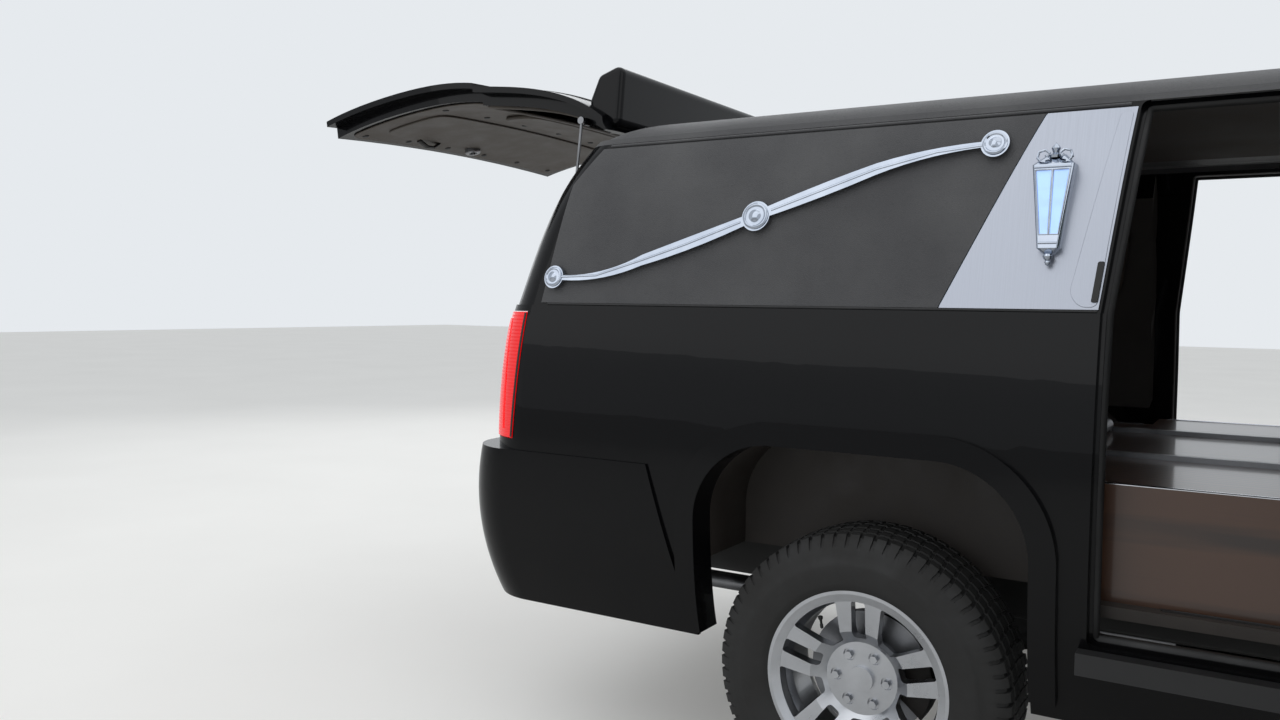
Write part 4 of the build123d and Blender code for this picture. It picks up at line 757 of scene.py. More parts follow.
# Landau bars: turned medallions on the two caps and the boss, and a ridge along the middle of each blade
landau = {
    "medallion": [(0, 33), (2.5, 33), (5, 30), (5.5, 27), (3, 24), (2.6, 18), (4.5, 14), (7.5, 9), (9, 4), (9.3, 0)],
    "medallions": ((-1015, 1473, 0.94), (-345, 1642, 1.16), (288, 1806, 0.94)),  # x, z, scale
    "ridges": ([(-985, 1473), (-857, 1477), (-700, 1522), (-558, 1566), (-390, 1626)],
               [(-300, 1657), (-147, 1710), (-12, 1757), (144, 1793), (258, 1803)]),
}
for side, sign in sides.items():
    find = fromSide(treeOf("landau_bars"), sign)
    medals = [latheShape([(a, r * scale) for a, r in landau["medallion"]], *find(x, z), 48)
              for x, z, scale in landau["medallions"]]
    newPiece(f"bar_medallions_{side}", medals, "chrome", "root")
    ridges = [sweepShape(follow(find, part, 30), bead(7, 2.2)) for part in landau["ridges"]]
    newPiece(f"bar_ridges_{side}", ridges, "chrome", "root")

# Coach lamps: scrolled crown and finial above, pendant and cup below, fillets round the panes
coachLamp = {
    "x": 437, "lean": 0.18, "crownZ": 1762, "footZ": 1524,
    "crown": [(-4, 15), (2, 17), (5, 12), (8, 7), (14, 9), (19, 11), (24, 8), (29, 3), (33, 0)],
    "foot": [(0, 9), (-5, 12), (-12, 9), (-16, 5), (-20, 7), (-25, 5), (-29, 0)],
    "scroll": [(-30, 1746), (-40, 1758), (-36, 1772), (-22, 1776), (-12, 1768), (-16, 1760), (-22, 1764)],
    "pane": [(3, 1572), (3, 1724), (37, 1724), (20, 1572)], "bands": ((22, 1550), (42, 1733)),
}
lampX = coachLamp["x"]
for side, sign in sides.items():
    find = fromSide(treeOf("coach_lamp_frames", "coach_lamps", "steel_panels"), sign)
    out = Vector((0, sign, coachLamp["lean"])).normalized()
    top, foot = find(lampX, 1755)[0].y, find(lampX, 1533)[0].y
    crown = [latheShape(coachLamp["crown"], at(lampX, 0, coachLamp["crownZ"]) + Vector((0, top - sign * 0.012, 0)),
                        (0, 0, 1), 28)]
    for way in (-1, 1):
        curl = [(at(lampX + way * a, 0, z) + Vector((0, top + sign * 0.002, 0)), out)
                for a, z in coachLamp["scroll"]]
        crown.append(sweepShape(curl, rod(3.2)))
    crown.append(latheShape(coachLamp["foot"], at(lampX, 0, coachLamp["footZ"]) + Vector((0, foot - sign * 0.004, 0)),
                            (0, 0, 1), 24))
    newPiece(f"lamp_crown_{side}", crown, "chrome", "root")
    edges = []
    for way in (-1, 1):
        pane = inset([(lampX + way * a, z) for a, z in coachLamp["pane"]], -2)
        edges.append(sweepShape(follow(find, pane, 30, True), bead(4, 2.4), True))
    newPiece(f"lamp_fillets_{side}", edges, "chrome", "root")
    bands = [sweepShape([find(lampX + a, z) for a in range(-half, half + 1, 6)], bead(6, 3.4))
             for half, z in coachLamp["bands"]]
    newPiece(f"lamp_bands_{side}", bands, "chrome", "root")

# Tail lamps: light guides behind the red lens, reversing lamp and the dark surround that holds the lens
tailLamp = {"guides": (775, 805, 900), "guideZ": range(990, 1341, 25), "sideGuide": -1190,
            "reversing": (826, 880, 1090, 1210, 8), "edge": [(-1146, 966), (-1117, 1360)]}
tailTree = treeOf("tail_lamps")
for side, sign in sides.items():
    tailBack, tailSide = fromBehind(tailTree), fromSide(tailTree, sign)
    guides = [sweepShape([tailBack(sign * y, z) for z in tailLamp["guideZ"]], bead(12, 2.5))
              for y in tailLamp["guides"]]
    guides.append(sweepShape([tailSide(tailLamp["sideGuide"], z) for z in tailLamp["guideZ"]], bead(14, 2.5)))
    newPiece(f"tail_lamp_guides_{side}", guides, "red_light", "root")
    layPlate(f"reversing_lamp_{side}", tailBack, sideBox(sign, *tailLamp["reversing"]), 0.3, 3, 40, "clear_lens",
             rim=1)
    newPiece(f"tail_lamp_edge_{side}", [sweepShape(follow(tailSide, tailLamp["edge"], 30),
                                                   [(-5, -1), (-5, 1.2), (3, 1.2), (3, -1)])], "seal", "root")
print("bars and lamps dressed")

# Wheels: vented brake disc, caliper and valve stem
brake = {"radius": 166, "thick": 28, "at": 852, "vent": 4, "ventDeep": 8, "caliperRadii": (178, 104),
         "caliperHalf": 34, "caliperThick": 70, "stem": (-0.118, 0.085, 0.148), "stemAim": (0.35, 0.6, -0.44),
         "valve": [(0, 7), (6, 6), (9, 3.5), (24, 3.2), (25, 4.4), (36, 4.4), (38, 3)]}
axles = {"rear": 0, "front": 3302}
hubZ = 401
for end, x in axles.items():
    for side, sign in sides.items():
        centre = at(x, sign * brake["at"], hubZ)
        half, vent, radius = brake["thick"] / 2, brake["vent"], brake["radius"]
        disc = [(-half, 82), (-half, radius), (-vent, radius), (-vent, radius - brake["ventDeep"]),
                (vent, radius - brake["ventDeep"]), (vent, radius), (half, radius), (half, 96), (half + 26, 90),
                (half + 30, 84), (half + 30, 74)]
        newPiece(f"brake_disc_{end}_{side}", [latheShape(disc, centre, (0, sign, 0), 56)], "bare_steel",
                 f"wheel_{end}_{side}")
        stem, aim = (Vector((a, sign * b, c)) for a, b, c in (brake["stem"], brake["stemAim"]))
        newPiece(f"valve_stem_{end}_{side}", [latheShape(brake["valve"], centre + stem, aim, 16)], "seal",
                 f"wheel_{end}_{side}")
        holder, way = ("root", 1) if end == "rear" else (f"knuckle_{side}", -1)
        reach = range(-brake["caliperHalf"], brake["caliperHalf"] + 1, 8)
        caliper = [(math.cos(math.radians(turn * a)) * r, math.sin(math.radians(turn * a)) * r)
                   for r, turn in zip(brake["caliperRadii"], (1, -1)) for a in reach]
        shape = slabShape(caliper, lambda a, b, up: at(x + way * a, sign * (brake["at"] - 34 + up), hubZ + b),
                          brake["caliperThick"], 8)
        newPiece(f"brake_caliper_{end}_{side}", [shape], "cast_iron", holder)
print("brakes and valves made")

# Rear bumper: ribbed step pad, reflectors, parking sensors, tow cover and valance
bumper = {"pad": (-1372, -1258, -560, 560, 14), "ribs": range(-1358, -1264, 14), "ribHalf": 530,
          "reflector": (560, 730, 560, 592, 8), "sensors": (250, 620), "sensorZ": 700,
          "sensor": [(-1, 13), (1.5, 13), (2.5, 11), (2.5, 8), (1.4, 7.4), (1.8, 0)],
          "towCover": (-95, 95, 500, 610, 16), "valanceHalf": 480, "valance": (458, 480)}
bumperTree = treeOf("rear_bumper")
bumperTop, bumperBack = fromAbove(bumperTree, 1200), fromBehind(bumperTree)
layPlate("step_pad", bumperTop, bumper["pad"], 0.4, 4, 60, "trim_black", rim=1.2)
ribs = [sweepShape(raised(follow(bumperTop, [(x, -bumper["ribHalf"]), (x, bumper["ribHalf"])], 60), 4), bead(6, 1.8))
        for x in bumper["ribs"]]
newPiece("step_pad_ribs", ribs, "trim_black", "root")
reflectors, sensors = [], []
for side, sign in sides.items():
    reflectors.append(drapeShape(box2d(*sideBox(sign, *bumper["reflector"])), bumperBack, 0.4, 5, 60))
    sensors += [latheShape(bumper["sensor"], *bumperBack(sign * y, bumper["sensorZ"]), 28)
                for y in bumper["sensors"]]
newPiece("bumper_reflectors", reflectors, "red_lens", "root", rim=1.5)
newPiece("parking_sensors", sensors, "trim_black", "root")
layPlate("tow_cover", bumperBack, bumper["towCover"], 0.3, 3, 60, "trim_black", rim=1.2)
half = bumper["valanceHalf"]
valance = [drapeShape(box2d(-half, half, z, z + 14, 6), bumperBack, 0.3, 4, 80) for z in bumper["valance"]]
newPiece("bumper_valance", valance, "trim_black", "root", rim=1.5)

# Running boards: ribs of the rubber pad; sill plates inside the doors
boards = {"ribs": (955, 970, 985, 1000), "ends": 60,
          "rib": [(-5.5, -1), (-4.5, 2.2), (-2.5, 3), (2.5, 3), (4.5, 2.2), (5.5, -1)]}
sills = {"rear": (700, 1540), "front": (1650, 2560), "wide": (826, 878), "lines": (838, 852, 866)}
boardTop = fromAbove(treeOf("running_boards"), 560)
sillTop = fromAbove(treeOf("door_frames", "floor_tub", "rear_quarters"), 900)
low, high = (1000 * (corner.x - shift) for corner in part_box("running_boards"))
for side, sign in sides.items():
    ribs = [sweepShape(follow(boardTop, [(low + boards["ends"], sign * y), (high - boards["ends"], sign * y)], 80),
                       boards["rib"]) for y in boards["ribs"]]
    newPiece(f"board_ribs_{side}", ribs, "trim_black", "root")
    for end in ("rear", "front"):
        a, b = sills[end]
        shapes = [drapeShape(box2d(a, b, *sorted(sign * y for y in sills["wide"]), 10), sillTop, 0.3, 1.6, 80)]
        shapes += [sweepShape(follow(sillTop, [(a + 30, sign * y), (b - 30, sign * y)], 90), bead(5, 3.2))
                   for y in sills["lines"]]
        newPiece(f"{end}_sill_plate_{side}", shapes, "trim_black", "root")
print("bumper, boards and sills made")

# Load space: side trims, cloth headliner with its bows, dome lamps, and bright edges round the deck
loadSpace = {
    "trim": [(-850, 1010), (-850, 1700), (-780, 1810), (560, 1810), (515, 1390), (515, 1010)],
    "field": [(-720, 1440), (-690, 1720), (420, 1720), (380, 1440)],
    "headliner": (-820, 1840, -560, 560, 90), "bows": (-500, 200, 900, 1560), "bowHalf": 540,
    "bow": [(-16, 0), (-12, 8), (-5, 11), (5, 11), (12, 8), (16, 0)],
    "domes": (-150, 1250), "dome": [(5, 58), (12, 56), (18, 46), (21, 24), (22, 0)],
    "deckEdges": ((-1112, 500, 622), (560, 1472, 852)),  # both ends and the distance from the middle
    "deckEdge": [(-8, 0), (-8, 2), (-5, 3.4), (5, 3.4), (8, 2), (8, 0)],
}
quarterTree = treeOf("rear_quarters")
for side, sign in sides.items():
    find = fromSide(quarterTree, sign, None, True)
    newPiece(f"load_trim_{side}", [drapeShape(rounded(loadSpace["trim"], 40), find, 0.4, 4, 70)], "interior_trim",
             "root", rim=1.5)
    newPiece(f"load_trim_field_{side}", [drapeShape(rounded(loadSpace["field"], 60), find, 4.4, 6, 70)], "headliner",
             "root", rim=4)
ceiling = fromAbove(treeOf("roof"), 1500, 1)
layPlate("headliner", ceiling, loadSpace["headliner"], 0.4, 6, 90, "headliner", rim=3)
half = loadSpace["bowHalf"]
bows = [sweepShape(follow(ceiling, [(x, -half), (x, half)], 60), loadSpace["bow"]) for x in loadSpace["bows"]]
newPiece("headliner_bows", bows, "interior_trim", "root")
newPiece("dome_lamps", [latheShape(loadSpace["dome"], *ceiling(x, 0), 36) for x in loadSpace["domes"]], "lamp_glass",
         "root")
deckTop = fromAbove(treeOf("casket_deck"), 1300)
edges = [sweepShape(follow(deckTop, [(a, sign * y), (b, sign * y)], 80), loadSpace["deckEdge"])
         for sign in (-1, 1) for a, b, y in loadSpace["deckEdges"]]
newPiece("deck_edges", edges, "polished", "root")
print("load space dressed")

# Cab: vents, blank screen, veneer, knobs, instrument hood with its dials, pedals, mats and inside mirror
dash = {
    "vents": (-760, -180, 180, 760), "ventHalf": 62, "ventZ": (1205, 1262), "slats": (1216, 1228, 1240, 1252),
    "ventRim": [(-5, -1), (-5, 4), (-2, 6), (2, 6), (5, 4), (5, -1)],
    # box, lift, thickness, grid, finish, rim
    "plates": {
        "dash_screen_rim": ((-118, 118, 1130, 1196, 12), 0.4, 8, 50, "trim_black", 3),
        "dash_screen": ((-106, 106, 1138, 1188, 6), 8, 2, 50, "dark_glass", 0.8),
        "dash_veneer": ((-820, -240, 1130, 1160, 10), 0.4, 4, 60, "deck_board", 1.5),
    },
    "knobs": (-90, -45, 0, 45, 90), "knobZ": 1085, "knob": [(0, 15), (10, 14), (14, 12), (15, 8), (15, 0)],
    "hoodX": 2400, "hoodY": range(260, 581, 40), "hoodRise": (2, 28, 44, 52, 54, 52, 44, 28, 2),
    "hood": [(-70, -9), (-60, 3), (-20, 6), (40, 4), (60, -4), (60, -30), (50, -30), (40, -6), (-58, -8)],
    "dials": ((330, 44), (420, 30), (510, 44)), "dialX": 2362, "dialZ": 1322, "dialAim": (-1, 0, 0.35),
    "needles": (330, 510), "needle": [(-1.5, 0), (1.5, 0), (1.5, 1.2), (-1.5, 1.2)],
    "pedals": (330, 440), "pedalHalf": 32, "pedalZ": (770, 860), "pedalX": 2560, "pedalLean": 0.3,
}
dashTree = treeOf("dashboard")
dashFace, dashTop = fromEnd(dashTree, 2000, 1), fromAbove(dashTree, 1600)
vents, slats = [], []
for y in dash["vents"]:
    outline = box2d(y - dash["ventHalf"], y + dash["ventHalf"], *dash["ventZ"], 14)
    vents.append(sweepShape(follow(dashFace, outline, 30, True), dash["ventRim"], True))
    slats += [sweepShape([dashFace(a, z) for a in range(y - 54, y + 55, 18)], bead(5, 4)) for z in dash["slats"]]
newPiece("dash_vent_rims", vents, "chrome", "root")
newPiece("dash_vent_slats", slats, "trim_black", "root")
for name, (box, lift, thick, grid, finish, rim) in dash["plates"].items():
    layPlate(name, dashFace, box, lift, thick, grid, finish, rim=rim)
newPiece("dash_knobs", [latheShape(dash["knob"], *dashFace(y, dash["knobZ"]), 24) for y in dash["knobs"]],
         "trim_black", "root")
arch = [dashTop(dash["hoodX"], y) for y in dash["hoodY"]]
arch = [(place + Vector((0, 0, rise / 1000)), up) for (place, up), rise in zip(arch, dash["hoodRise"])]
newPiece("instrument_hood", [sweepShape(arch, dash["hood"])], "trim_black", "root", 50)
dials = [latheShape([(0, radius), (7, radius), (8, radius - 3), (4, radius - 6), (3, radius - 8), (3, 0)],
                    at(dash["dialX"], y, dash["dialZ"]), dash["dialAim"], 40) for y, radius in dash["dials"]]
newPiece("instrument_dials", dials, "trim_black", "root")
aim, needleX = Vector(dash["dialAim"]), dash["dialX"] - 5
needles = [sweepShape([(at(needleX, y, dash["dialZ"]), aim), (at(needleX + 8, y - 20, dash["dialZ"] + 24), aim)],
                      dash["needle"]) for y in dash["needles"]]
newPiece("instrument_needles", needles, "red_lens", "root")
low, high = dash["pedalZ"]
pedals = [slabShape(box2d(y - dash["pedalHalf"], y + dash["pedalHalf"], low, high, 10),
                    lambda a, b, up: at(dash["pedalX"] - up + (b - low) * dash["pedalLean"], a, b), 12, 3)
          for y in dash["pedals"]]
newPiece("pedals", pedals, "trim_black", "root")
floorTop = fromAbove(treeOf("floor_tub"), 800)
mats = [drapeShape(box2d(2200, 2560, *sorted((sign * 260, sign * 660)), 40), floorTop, 0.3, 9, 60)
        for sign in (-1, 1)]
newPiece("floor_mats", mats, "carpet", "root", rim=3)
layPlate("cab_carpet", floorTop, (1500, 2190, -230, 230, 20), 0.3, 5, 90, "carpet", rim=2)
insideMirror = {"shellX": 2150, "shell": (-125, 125, 1655, 1725), "glassX": 2128, "glass": (-117, 117, 1663, 1717),
                "stem": ((2158, 1700), (2185, 1730), (2200, 1765)), "stemRadius": 7}
newPiece("inside_mirror", [slabShape(rounded(box2d(*insideMirror["shell"]), 30),
                                     lambda a, b, up: at(insideMirror["shellX"] - up, a, b), 22, 8)], "trim_black",
         "root")
newPiece("inside_mirror_glass", [slabShape(rounded(box2d(*insideMirror["glass"]), 25),
                                           lambda a, b, up: at(insideMirror["glassX"] - up, a, b), 1.5, 0.5)],
         "mirror_glass", "root")
stem = [(at(x, 0, z), Vector((0, 1, 0))) for x, z in insideMirror["stem"]]
newPiece("inside_mirror_stem", [sweepShape(stem, rod(insideMirror["stemRadius"]))], "trim_black", "root")
print("cab dressed")

# Nose: mesh behind the grille bars, surround, lamp bowls, turn and fog lamps, and the door mirrors' glasses
nose = {
    "meshHalf": 420, "meshPitch": 28, "meshZ": (892, 960, 1030, 1100, 1165), "meshBow": 6,
    "mesh": [(-2, 0), (-2, 6), (2, 6), (2, 0)],
    "surroundEdge": [(-486, 1196), (-454, 860), (454, 860), (486, 1196)],
    "surround": [(-9, -2), (-9, 4), (-5, 8), (5, 8), (9, 4), (9, -2)],
    "bowls": (620, 780), "bowlZ": 1092, "bowlBack": 0.052,
    "bowl": [(0, 12), (6, 26), (20, 44), (36, 56), (40, 56), (40, 53), (24, 42), (12, 24), (10, 0)],
    "bulb": [(8, 20), (18, 20), (26, 14), (30, 6), (31, 0)],
    "turnLamp": (590, 840, 972, 1000, 8), "fog": (690, 560),
    "fogRim": [(0, 66), (6, 66), (10, 60), (8, 54), (2, 50)], "fogLens": [(1, 50), (7, 46), (11, 30), (12, 0)],
}
mirrorGlass = {"x": 2377, "box": (1030, 1196, 1384, 1546), "corner": 34, "thick": 2.6}
noseFace = fromAhead("front_bumper", "front_fenders", "grille", "headlamps")
bumperFront, lampFace = fromAhead("front_bumper"), fromAhead("headlamps")
meshX = 1000 * (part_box("grille")[0].x - shift) + 10
mesh = []
for y in range(-nose["meshHalf"], nose["meshHalf"] + 1, nose["meshPitch"]):
    bowed = meshX + nose["meshBow"] * (1 - (y / nose["meshHalf"]) ** 2)
    mesh.append(sweepShape([(at(bowed, y, z), Vector((1, 0, 0))) for z in nose["meshZ"]], nose["mesh"]))
newPiece("grille_mesh", mesh, "trim_black", "root")
newPiece("grille_surround", [sweepShape(follow(noseFace, rounded(nose["surroundEdge"], 30), 40, True),
                                        nose["surround"], True)], "chrome", "root")
for side, sign in sides.items():
    bowls = []
    for y in nose["bowls"]:
        place = lampFace(sign * y, nose["bowlZ"])[0] - Vector((nose["bowlBack"], 0, 0))
        bowls += [latheShape(nose["bowl"], place, (1, 0, 0), 40), latheShape(nose["bulb"], place, (1, 0, 0), 28)]
    newPiece(f"headlamp_bowls_{side}", bowls, "chrome", "root")
    layPlate(f"turn_lamp_{side}", bumperFront, sideBox(sign, *nose["turnLamp"]), 0.4, 4, 50, "amber_lens", rim=1.5)
    place, up = bumperFront(sign * nose["fog"][0], nose["fog"][1])
    newPiece(f"fog_lamp_{side}", [latheShape(nose["fogRim"], place, up, 40)], "chrome", "root")
    newPiece(f"fog_lens_{side}", [latheShape(nose["fogLens"], place, up, 40)], "clear_lens", "root")
    glass = rounded(box2d(*sideBox(sign, *mirrorGlass["box"], 0)), mirrorGlass["corner"])
    newPiece(f"mirror_glass_{side}", [slabShape(glass, lambda a, b, up: at(mirrorGlass["x"] - up + 1, a, b),
                                                mirrorGlass["thick"], 0.8)], "mirror_glass", f"front_door_{side}")

# Front bumper: grid and dark back of its intake, blank plate on its holder, and bars under the chin
intake = {"low": 418, "high": 602, "half": 512, "flare": 0.25, "bars": (458, 486, 514, 542, 570), "pitch": 48,
          "bar": [(-4, -36), (-4, -14), (-2, -12), (2, -12), (4, -14), (4, -36)],
          "uprightHalf": 480, "uprightZ": (424, 480, 540, 596), "upright": [(-2, -38), (-2, -20), (2, -20), (2, -38)],
          "back": [(-540, 404), (-600, 616), (600, 616), (540, 404)],
          "holder": (-160, 160, 436, 586, 12), "plate": (-152, 152, 443, 579, 10),
          "chin": (350, 372, 394), "chinHalf": 430, "chinHigh": 12}


def intakeFace(y, z):
    # The bumper's front carried across its opening
    low, high = bumperFront(y, intake["low"]), bumperFront(y, intake["high"])
    share = (z - intake["low"]) / (intake["high"] - intake["low"])
    return low[0].lerp(high[0], share), low[1].lerp(high[1], share).normalized()


grid = []
for z in intake["bars"]:
    half = intake["half"] + intake["flare"] * (z - intake["low"])
    grid.append(sweepShape(follow(intakeFace, [(-half, z), (half, z)], 60), intake["bar"]))
for y in range(-intake["uprightHalf"], intake["uprightHalf"] + 1, intake["pitch"]):
    grid.append(sweepShape([intakeFace(y, z) for z in intake["uprightZ"]], intake["upright"]))
newPiece("intake_grid", grid, "trim_black", "root")
newPiece("intake_back", [drapeShape(intake["back"], intakeFace, -48, 6, 60)], "chassis_black", "root")
layPlate("front_plate_holder", intakeFace, intake["holder"], -3, 3.4, 60, "trim_black", rim=0.4)
layPlate("front_plate", intakeFace, intake["plate"], 0.4, 1.0, 60, "blank_plate", rim=0.4)
half = intake["chinHalf"]
chin = [drapeShape(box2d(-half, half, z, z + intake["chinHigh"], 5), bumperFront, 0.3, 6, 80)
        for z in intake["chin"]]
newPiece("lower_intake_bars", chin, "trim_black", "root", rim=2)

# Windscreen: two wipers, each a blade with its arm, the black border, and the cowl's louvres
screen = {"wipers": ((-560, 20), (40, 610)), "bladeZ": (1412, 26), "armZ": (1394, 34), "armParts": 5,
          "blade": [(-8, -4), (-4, 6), (4, 6), (8, -4)], "arm": [(-7, -3), (-7, 3), (-3, 6), (3, 6), (7, 3), (7, -3)],
          "edge": [(-752, 1392), (-648, 1856), (648, 1856), (752, 1392)], "corner": 60,
          "border": [(-13, 0), (-10, 2.4), (10, 2.4), (13, 0)],
          "louvreX": (2680, 2700, 2720, 2740), "louvreY": range(-560, 561, 16)}
screenFace = fromAhead("windscreen")
wipers = []
for start, end in screen["wipers"]:
    steps = [(k, start + (end - start) * k / 8) for k in range(9)]
    blade = [screenFace(y, screen["bladeZ"][0] + screen["bladeZ"][1] * k / 8) for k, y in steps]
    arm = [screenFace(y, screen["armZ"][0] + screen["armZ"][1] * k / screen["armParts"])
           for k, y in steps[:screen["armParts"]]]
    wipers += [sweepShape(raised(blade, 6), screen["blade"]), sweepShape(raised(arm, 24, 2), screen["arm"])]
newPiece("screen_wipers", wipers, "trim_black", "root")
newPiece("screen_seal", [sweepShape(follow(screenFace, rounded(screen["edge"], screen["corner"]), 50, True),
                                    screen["border"], True)], "seal", "root")
cowlTop = fromAbove(treeOf("cowl"), 1700)
louvres = [sweepShape([cowlTop(x, y) for x in screen["louvreX"]], bead(6, 2.6)) for y in screen["louvreY"]]
newPiece("cowl_louvres", louvres, "trim_black", "root")

# Fuel flap on the left rear quarter, with the shade in its gap painted as a thin dark line
fuelFlap = {"box": (-560, -400, 1130, 1290, 30), "thick": 1.8, "gap": 3,
            "line": [(-2.5, -1), (-2.5, 0.6), (2.5, 0.6), (2.5, -1)]}
fuelSide = fromSide(quarterTree, 1)
layPlate("fuel_flap", fuelSide, fuelFlap["box"], 0.2, fuelFlap["thick"], 40, "body_paint", rim=0.8)
a, b, c, d, corner = fuelFlap["box"]
gap = fuelFlap["gap"]
flap = box2d(a - gap, b + gap, c - gap, d + gap, corner + 2)
# Painted shade: a thin strip in the black rubber finish stands for the shade inside the flap's gap
newPiece("fuel_flap_gap_shade", [sweepShape(follow(fuelSide, flap, 30, True), fuelFlap["line"], True)], "seal", "root")
print("front dressed")

# Seats: leather cushion, back and head rest over foam, swelled by cloth simulation, with posts and side covers
seatPads = {  # section seen from the side, half width, and edge of the even mesh in mm
    "cushion": ([(1800, 905), (2200, 915), (2252, 975), (2252, 1030), (2180, 1036), (1850, 1000), (1790, 960)],
                205, 15),
    "back": ([(1660, 960), (1790, 1000), (1830, 1040), (1735, 1500), (1640, 1500), (1630, 1200)], 200, 15),
    "rest": ([(1622, 1535), (1692, 1535), (1696, 1618), (1660, 1630), (1620, 1622)], 118, 11),
}
seatY = 450
foam = {"pressure": 4.0, "quality": 5, "frames": 14, "cap": 0.016}  # cap in metres
stitching = {"fieldHalf": 0.115, "fieldWide": 0.007, "fieldDeep": 0.008, "restDeep": 0.004,
             "pitch": 0.085, "start": 0.02, "wide": 0.006, "deep": 0.006, "channelHalf": 0.112}  # metres
seatHardware = {"postX": 1655, "postZ": (1485, 1520, 1560), "postY": (-55, 55), "postRadius": 6, "coverAt": 216,
                "coverThick": 20, "cover": [(1780, 895), (2215, 900), (2235, 940), (1860, 975), (1790, 1030),
                                            (1700, 1030), (1690, 940)]}


def applyModifiers(piece):
    graph = bpy.context.evaluated_depsgraph_get()
    mesh = bpy.data.meshes.new_from_object(piece.evaluated_get(graph))
    piece.modifiers.clear()
    piece.data = mesh


def makePad(name, outline, half, voxel):
    # Rounded block between two side faces, with an even mesh that can swell
    outline = rounded(outline, 34)
    ends = [(0.30, -half), (0.12, -half + 6), (0.0, -half + 26)]
    rings = ends + [(0.0, 0)] + [(drawn, -place) for drawn, place in reversed(ends)]
    count = len(outline)
    middle = Vector((sum(p[0] for p in outline) / count, sum(p[1] for p in outline) / count))
    verts, faces = [], []
    for drawn, place in rings:
        for corner in outline:
            spot = Vector(corner).lerp(middle, drawn)
            verts.append(at(spot.x, place, spot.y))
    for ring in range(len(rings) - 1):
        for number in range(count):
            after = (number + 1) % count
            faces.append((ring * count + number, ring * count + after, (ring + 1) * count + after,
                          (ring + 1) * count + number))
    faces += [tuple(range(count)), tuple(range((len(rings) - 1) * count, len(rings) * count))]
    piece = newPiece(name, [(verts, faces)], "seat_leather", "root", 70)
    remesh = piece.modifiers.new("even mesh", "REMESH")
    remesh.mode = "VOXEL"
    remesh.voxel_size = voxel / 1000
    remesh.use_smooth_shade = True
    applyModifiers(piece)
    return piece


def swell(piece):
    # Foam under leather: a short cloth simulation under inner pressure, each point moved no further than the cap
    before = [v.co.copy() for v in piece.data.vertices]
    cloth = piece.modifiers.new("foam", "CLOTH")
    cloth.settings.use_pressure = True
    cloth.settings.uniform_pressure_force = foam["pressure"]
    cloth.settings.effector_weights.gravity = 0.0
    cloth.settings.quality = foam["quality"]
    scene = bpy.context.scene
    for number in range(1, foam["frames"] + 1):
        scene.frame_set(number)
    applyModifiers(piece)
    scene.frame_set(1)
    for vertex, start in zip(piece.data.vertices, before):
        moved = vertex.co - start
        if moved.length > foam["cap"]:
            vertex.co = start + moved.normalized() * foam["cap"]


def stitch(pad, part):
    # Sewn channels across the middle, and a pinch along both sides of the centre field
    for vertex in pad.data.vertices:
        y = abs(vertex.co.y)
        field = math.exp(-((y - stitching["fieldHalf"]) / stitching["fieldWide"]) ** 2)
        if part == "rest":
            vertex.co -= vertex.normal * stitching["restDeep"] * field
            continue
        along = vertex.co.x - shift if part == "cushion" else vertex.co.z
        off = (along + stitching["start"]) % stitching["pitch"] - stitching["pitch"] / 2
        channel = math.exp(-(off / stitching["wide"]) ** 2) if y < stitching["channelHalf"] else 0.0
        vertex.co -= vertex.normal * (stitching["fieldDeep"] * field + stitching["deep"] * channel)


for part, (outline, half, voxel) in seatPads.items():
    pad = makePad(f"seat_{part}_right", outline, half, voxel)
    swell(pad)
    stitch(pad, part)
    fine = pad.modifiers.new("fine", "SUBSURF")
    fine.levels = fine.render_levels = 1
    applyModifiers(pad)
    pad.data.polygons.foreach_set("use_smooth", [True] * len(pad.data.polygons))
    pad.location.y = -seatY / 1000
    twin = bpy.data.objects.new(f"seat_{part}_left", pad.data)
    bpy.context.scene.collection.objects.link(twin)
    twin.location.y = seatY / 1000
    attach(twin, "root")
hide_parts("seats")
for side, sign in sides.items():
    posts = [sweepShape([(at(seatHardware["postX"], sign * seatY + y, z), Vector((1, 0, 0)))
                         for z in seatHardware["postZ"]], rod(seatHardware["postRadius"], 10))
             for y in seatHardware["postY"]]
    newPiece(f"head_rest_posts_{side}", posts, "chrome", "root")
    outline = rounded(seatHardware["cover"], 24)
    covers = [slabShape(outline, lambda a, b, up: at(a, sign * seatY + way * (seatHardware["coverAt"] + up), b),
                        seatHardware["coverThick"], 6) for way in (-1, 1)]
    newPiece(f"seat_covers_{side}", covers, "trim_black", "root")
print("seats made")

# Camera at the photograph's place: metres in the frame, degrees, and the lens for a 36 mm sensor
cameraView = {"place": (-0.0858, -3.5527, 1.3974), "yaw": 31.8, "pitch": 3.2, "roll": 0.72, "lens": 29.07}


def placeCamera():
    yaw, pitch, roll = (math.radians(cameraView[key]) for key in ("yaw", "pitch", "roll"))
    forward = Vector((-math.sin(yaw) * math.cos(pitch), math.cos(yaw) * math.cos(pitch), -math.sin(pitch)))
    right = Vector((math.cos(yaw), math.sin(yaw), 0.0))
    up = right.cross(forward)
    rolledRight = right * math.cos(roll) + up * math.sin(roll)
    rolledUp = up * math.cos(roll) - right * math.sin(roll)
    camera = bpy.data.cameras.new("camera")
    camera.lens = cameraView["lens"]
    camera.sensor_width = 36.0
    holder = bpy.data.objects.new("camera", camera)
    bpy.context.scene.collection.objects.link(holder)
    turned = Matrix((rolledRight, rolledUp, -forward)).transposed().to_4x4()
    holder.matrix_world = Matrix.Translation(cameraView["place"]) @ turned
    bpy.context.scene.camera = holder


placeCamera()

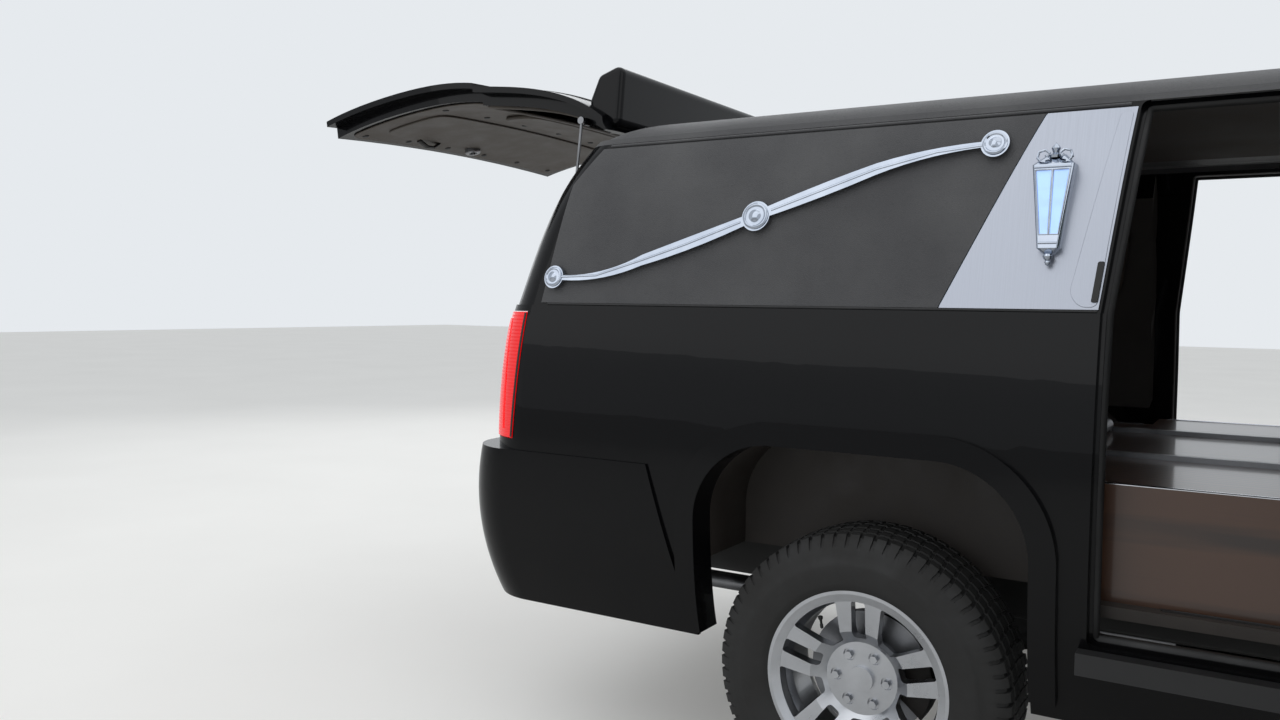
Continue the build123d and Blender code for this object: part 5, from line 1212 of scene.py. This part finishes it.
# Floor, soft lamps and a pale sky
studio = {"floor": "DAD9D6", "floorPale": "E4E3E0", "floorHalf": 40.0, "floorGlow": 0.22, "sky": "E6EAEE",
          "skyOnObject": 0.7, "aimZ": 0.8}
lamps = {  # place, size in metres, watts
    "key": ((-3.5, -7.0, 6.5), 9.0, 210),
    "fill": ((6.5, -6.0, 5.0), 7.0, 110),
    "back": ((-7.0, 5.0, 6.0), 8.0, 150),
    "top": ((0.0, 0.0, 8.0), 8.0, 120),
}


def makeStudio():
    finish, tree, shader, place = newFinish("pale floor paint", {"Roughness": 0.75})
    cloud = addNode(tree, "ShaderNodeTexNoise", {"Scale": 0.8, "Detail": 4.0}, {"Vector": place})
    colour = addNode(tree, "ShaderNodeMix", {"data_type": "RGBA", 6: linear(studio["floor"]),
                                             7: linear(studio["floorPale"])}, {0: cloud.outputs["Fac"]})
    tree.links.new(colour.outputs[2], shader.inputs["Base Color"])
    seen = addNode(tree, "ShaderNodeLightPath").outputs["Is Camera Ray"]
    glow = addNode(tree, "ShaderNodeMath", {"operation": "MULTIPLY", 1: studio["floorGlow"]}, {0: seen})
    tree.links.new(glow.outputs[0], shader.inputs["Emission Strength"])
    shader.inputs["Emission Color"].default_value = linear(studio["floor"])
    half = studio["floorHalf"]
    mesh = bpy.data.meshes.new("floor")
    mesh.from_pydata([(-half, -half, 0), (half, -half, 0), (half, half, 0), (-half, half, 0)], [], [(0, 1, 2, 3)])
    mesh.materials.append(finish)
    floor = bpy.data.objects.new("floor", mesh)
    bpy.context.scene.collection.objects.link(floor)
    for name, (spot, size, watts) in lamps.items():
        lamp = bpy.data.lights.new(name, "AREA")
        lamp.size = size
        lamp.energy = watts
        holder = bpy.data.objects.new(name, lamp)
        bpy.context.scene.collection.objects.link(holder)
        holder.location = spot
        holder.rotation_euler = (Vector((0, 0, studio["aimZ"])) - Vector(spot)).to_track_quat("-Z", "Y").to_euler()
    world = bpy.data.worlds.new("pale sky")
    world.use_nodes = True
    tree = world.node_tree
    tree.nodes.clear()
    path = addNode(tree, "ShaderNodeLightPath")
    glossy = addNode(tree, "ShaderNodeMath", {"operation": "MAXIMUM"},
                     {0: path.outputs["Is Camera Ray"], 1: path.outputs["Is Glossy Ray"]})
    seen = addNode(tree, "ShaderNodeMath", {"operation": "MAXIMUM"},
                   {0: glossy.outputs[0], 1: path.outputs["Is Transmission Ray"]})
    strength = addNode(tree, "ShaderNodeMapRange", {"To Min": studio["skyOnObject"], "To Max": 1.0},
                       {"Value": seen.outputs[0]})
    sky = addNode(tree, "ShaderNodeBackground", {"Color": linear(studio["sky"])}, {"Strength": strength.outputs[0]})
    addNode(tree, "ShaderNodeOutputWorld", links={"Surface": sky.outputs[0]})
    bpy.context.scene.world = world
    bpy.context.scene.view_settings.view_transform = "Standard"


makeStudio()
print("camera, floor and lights placed")
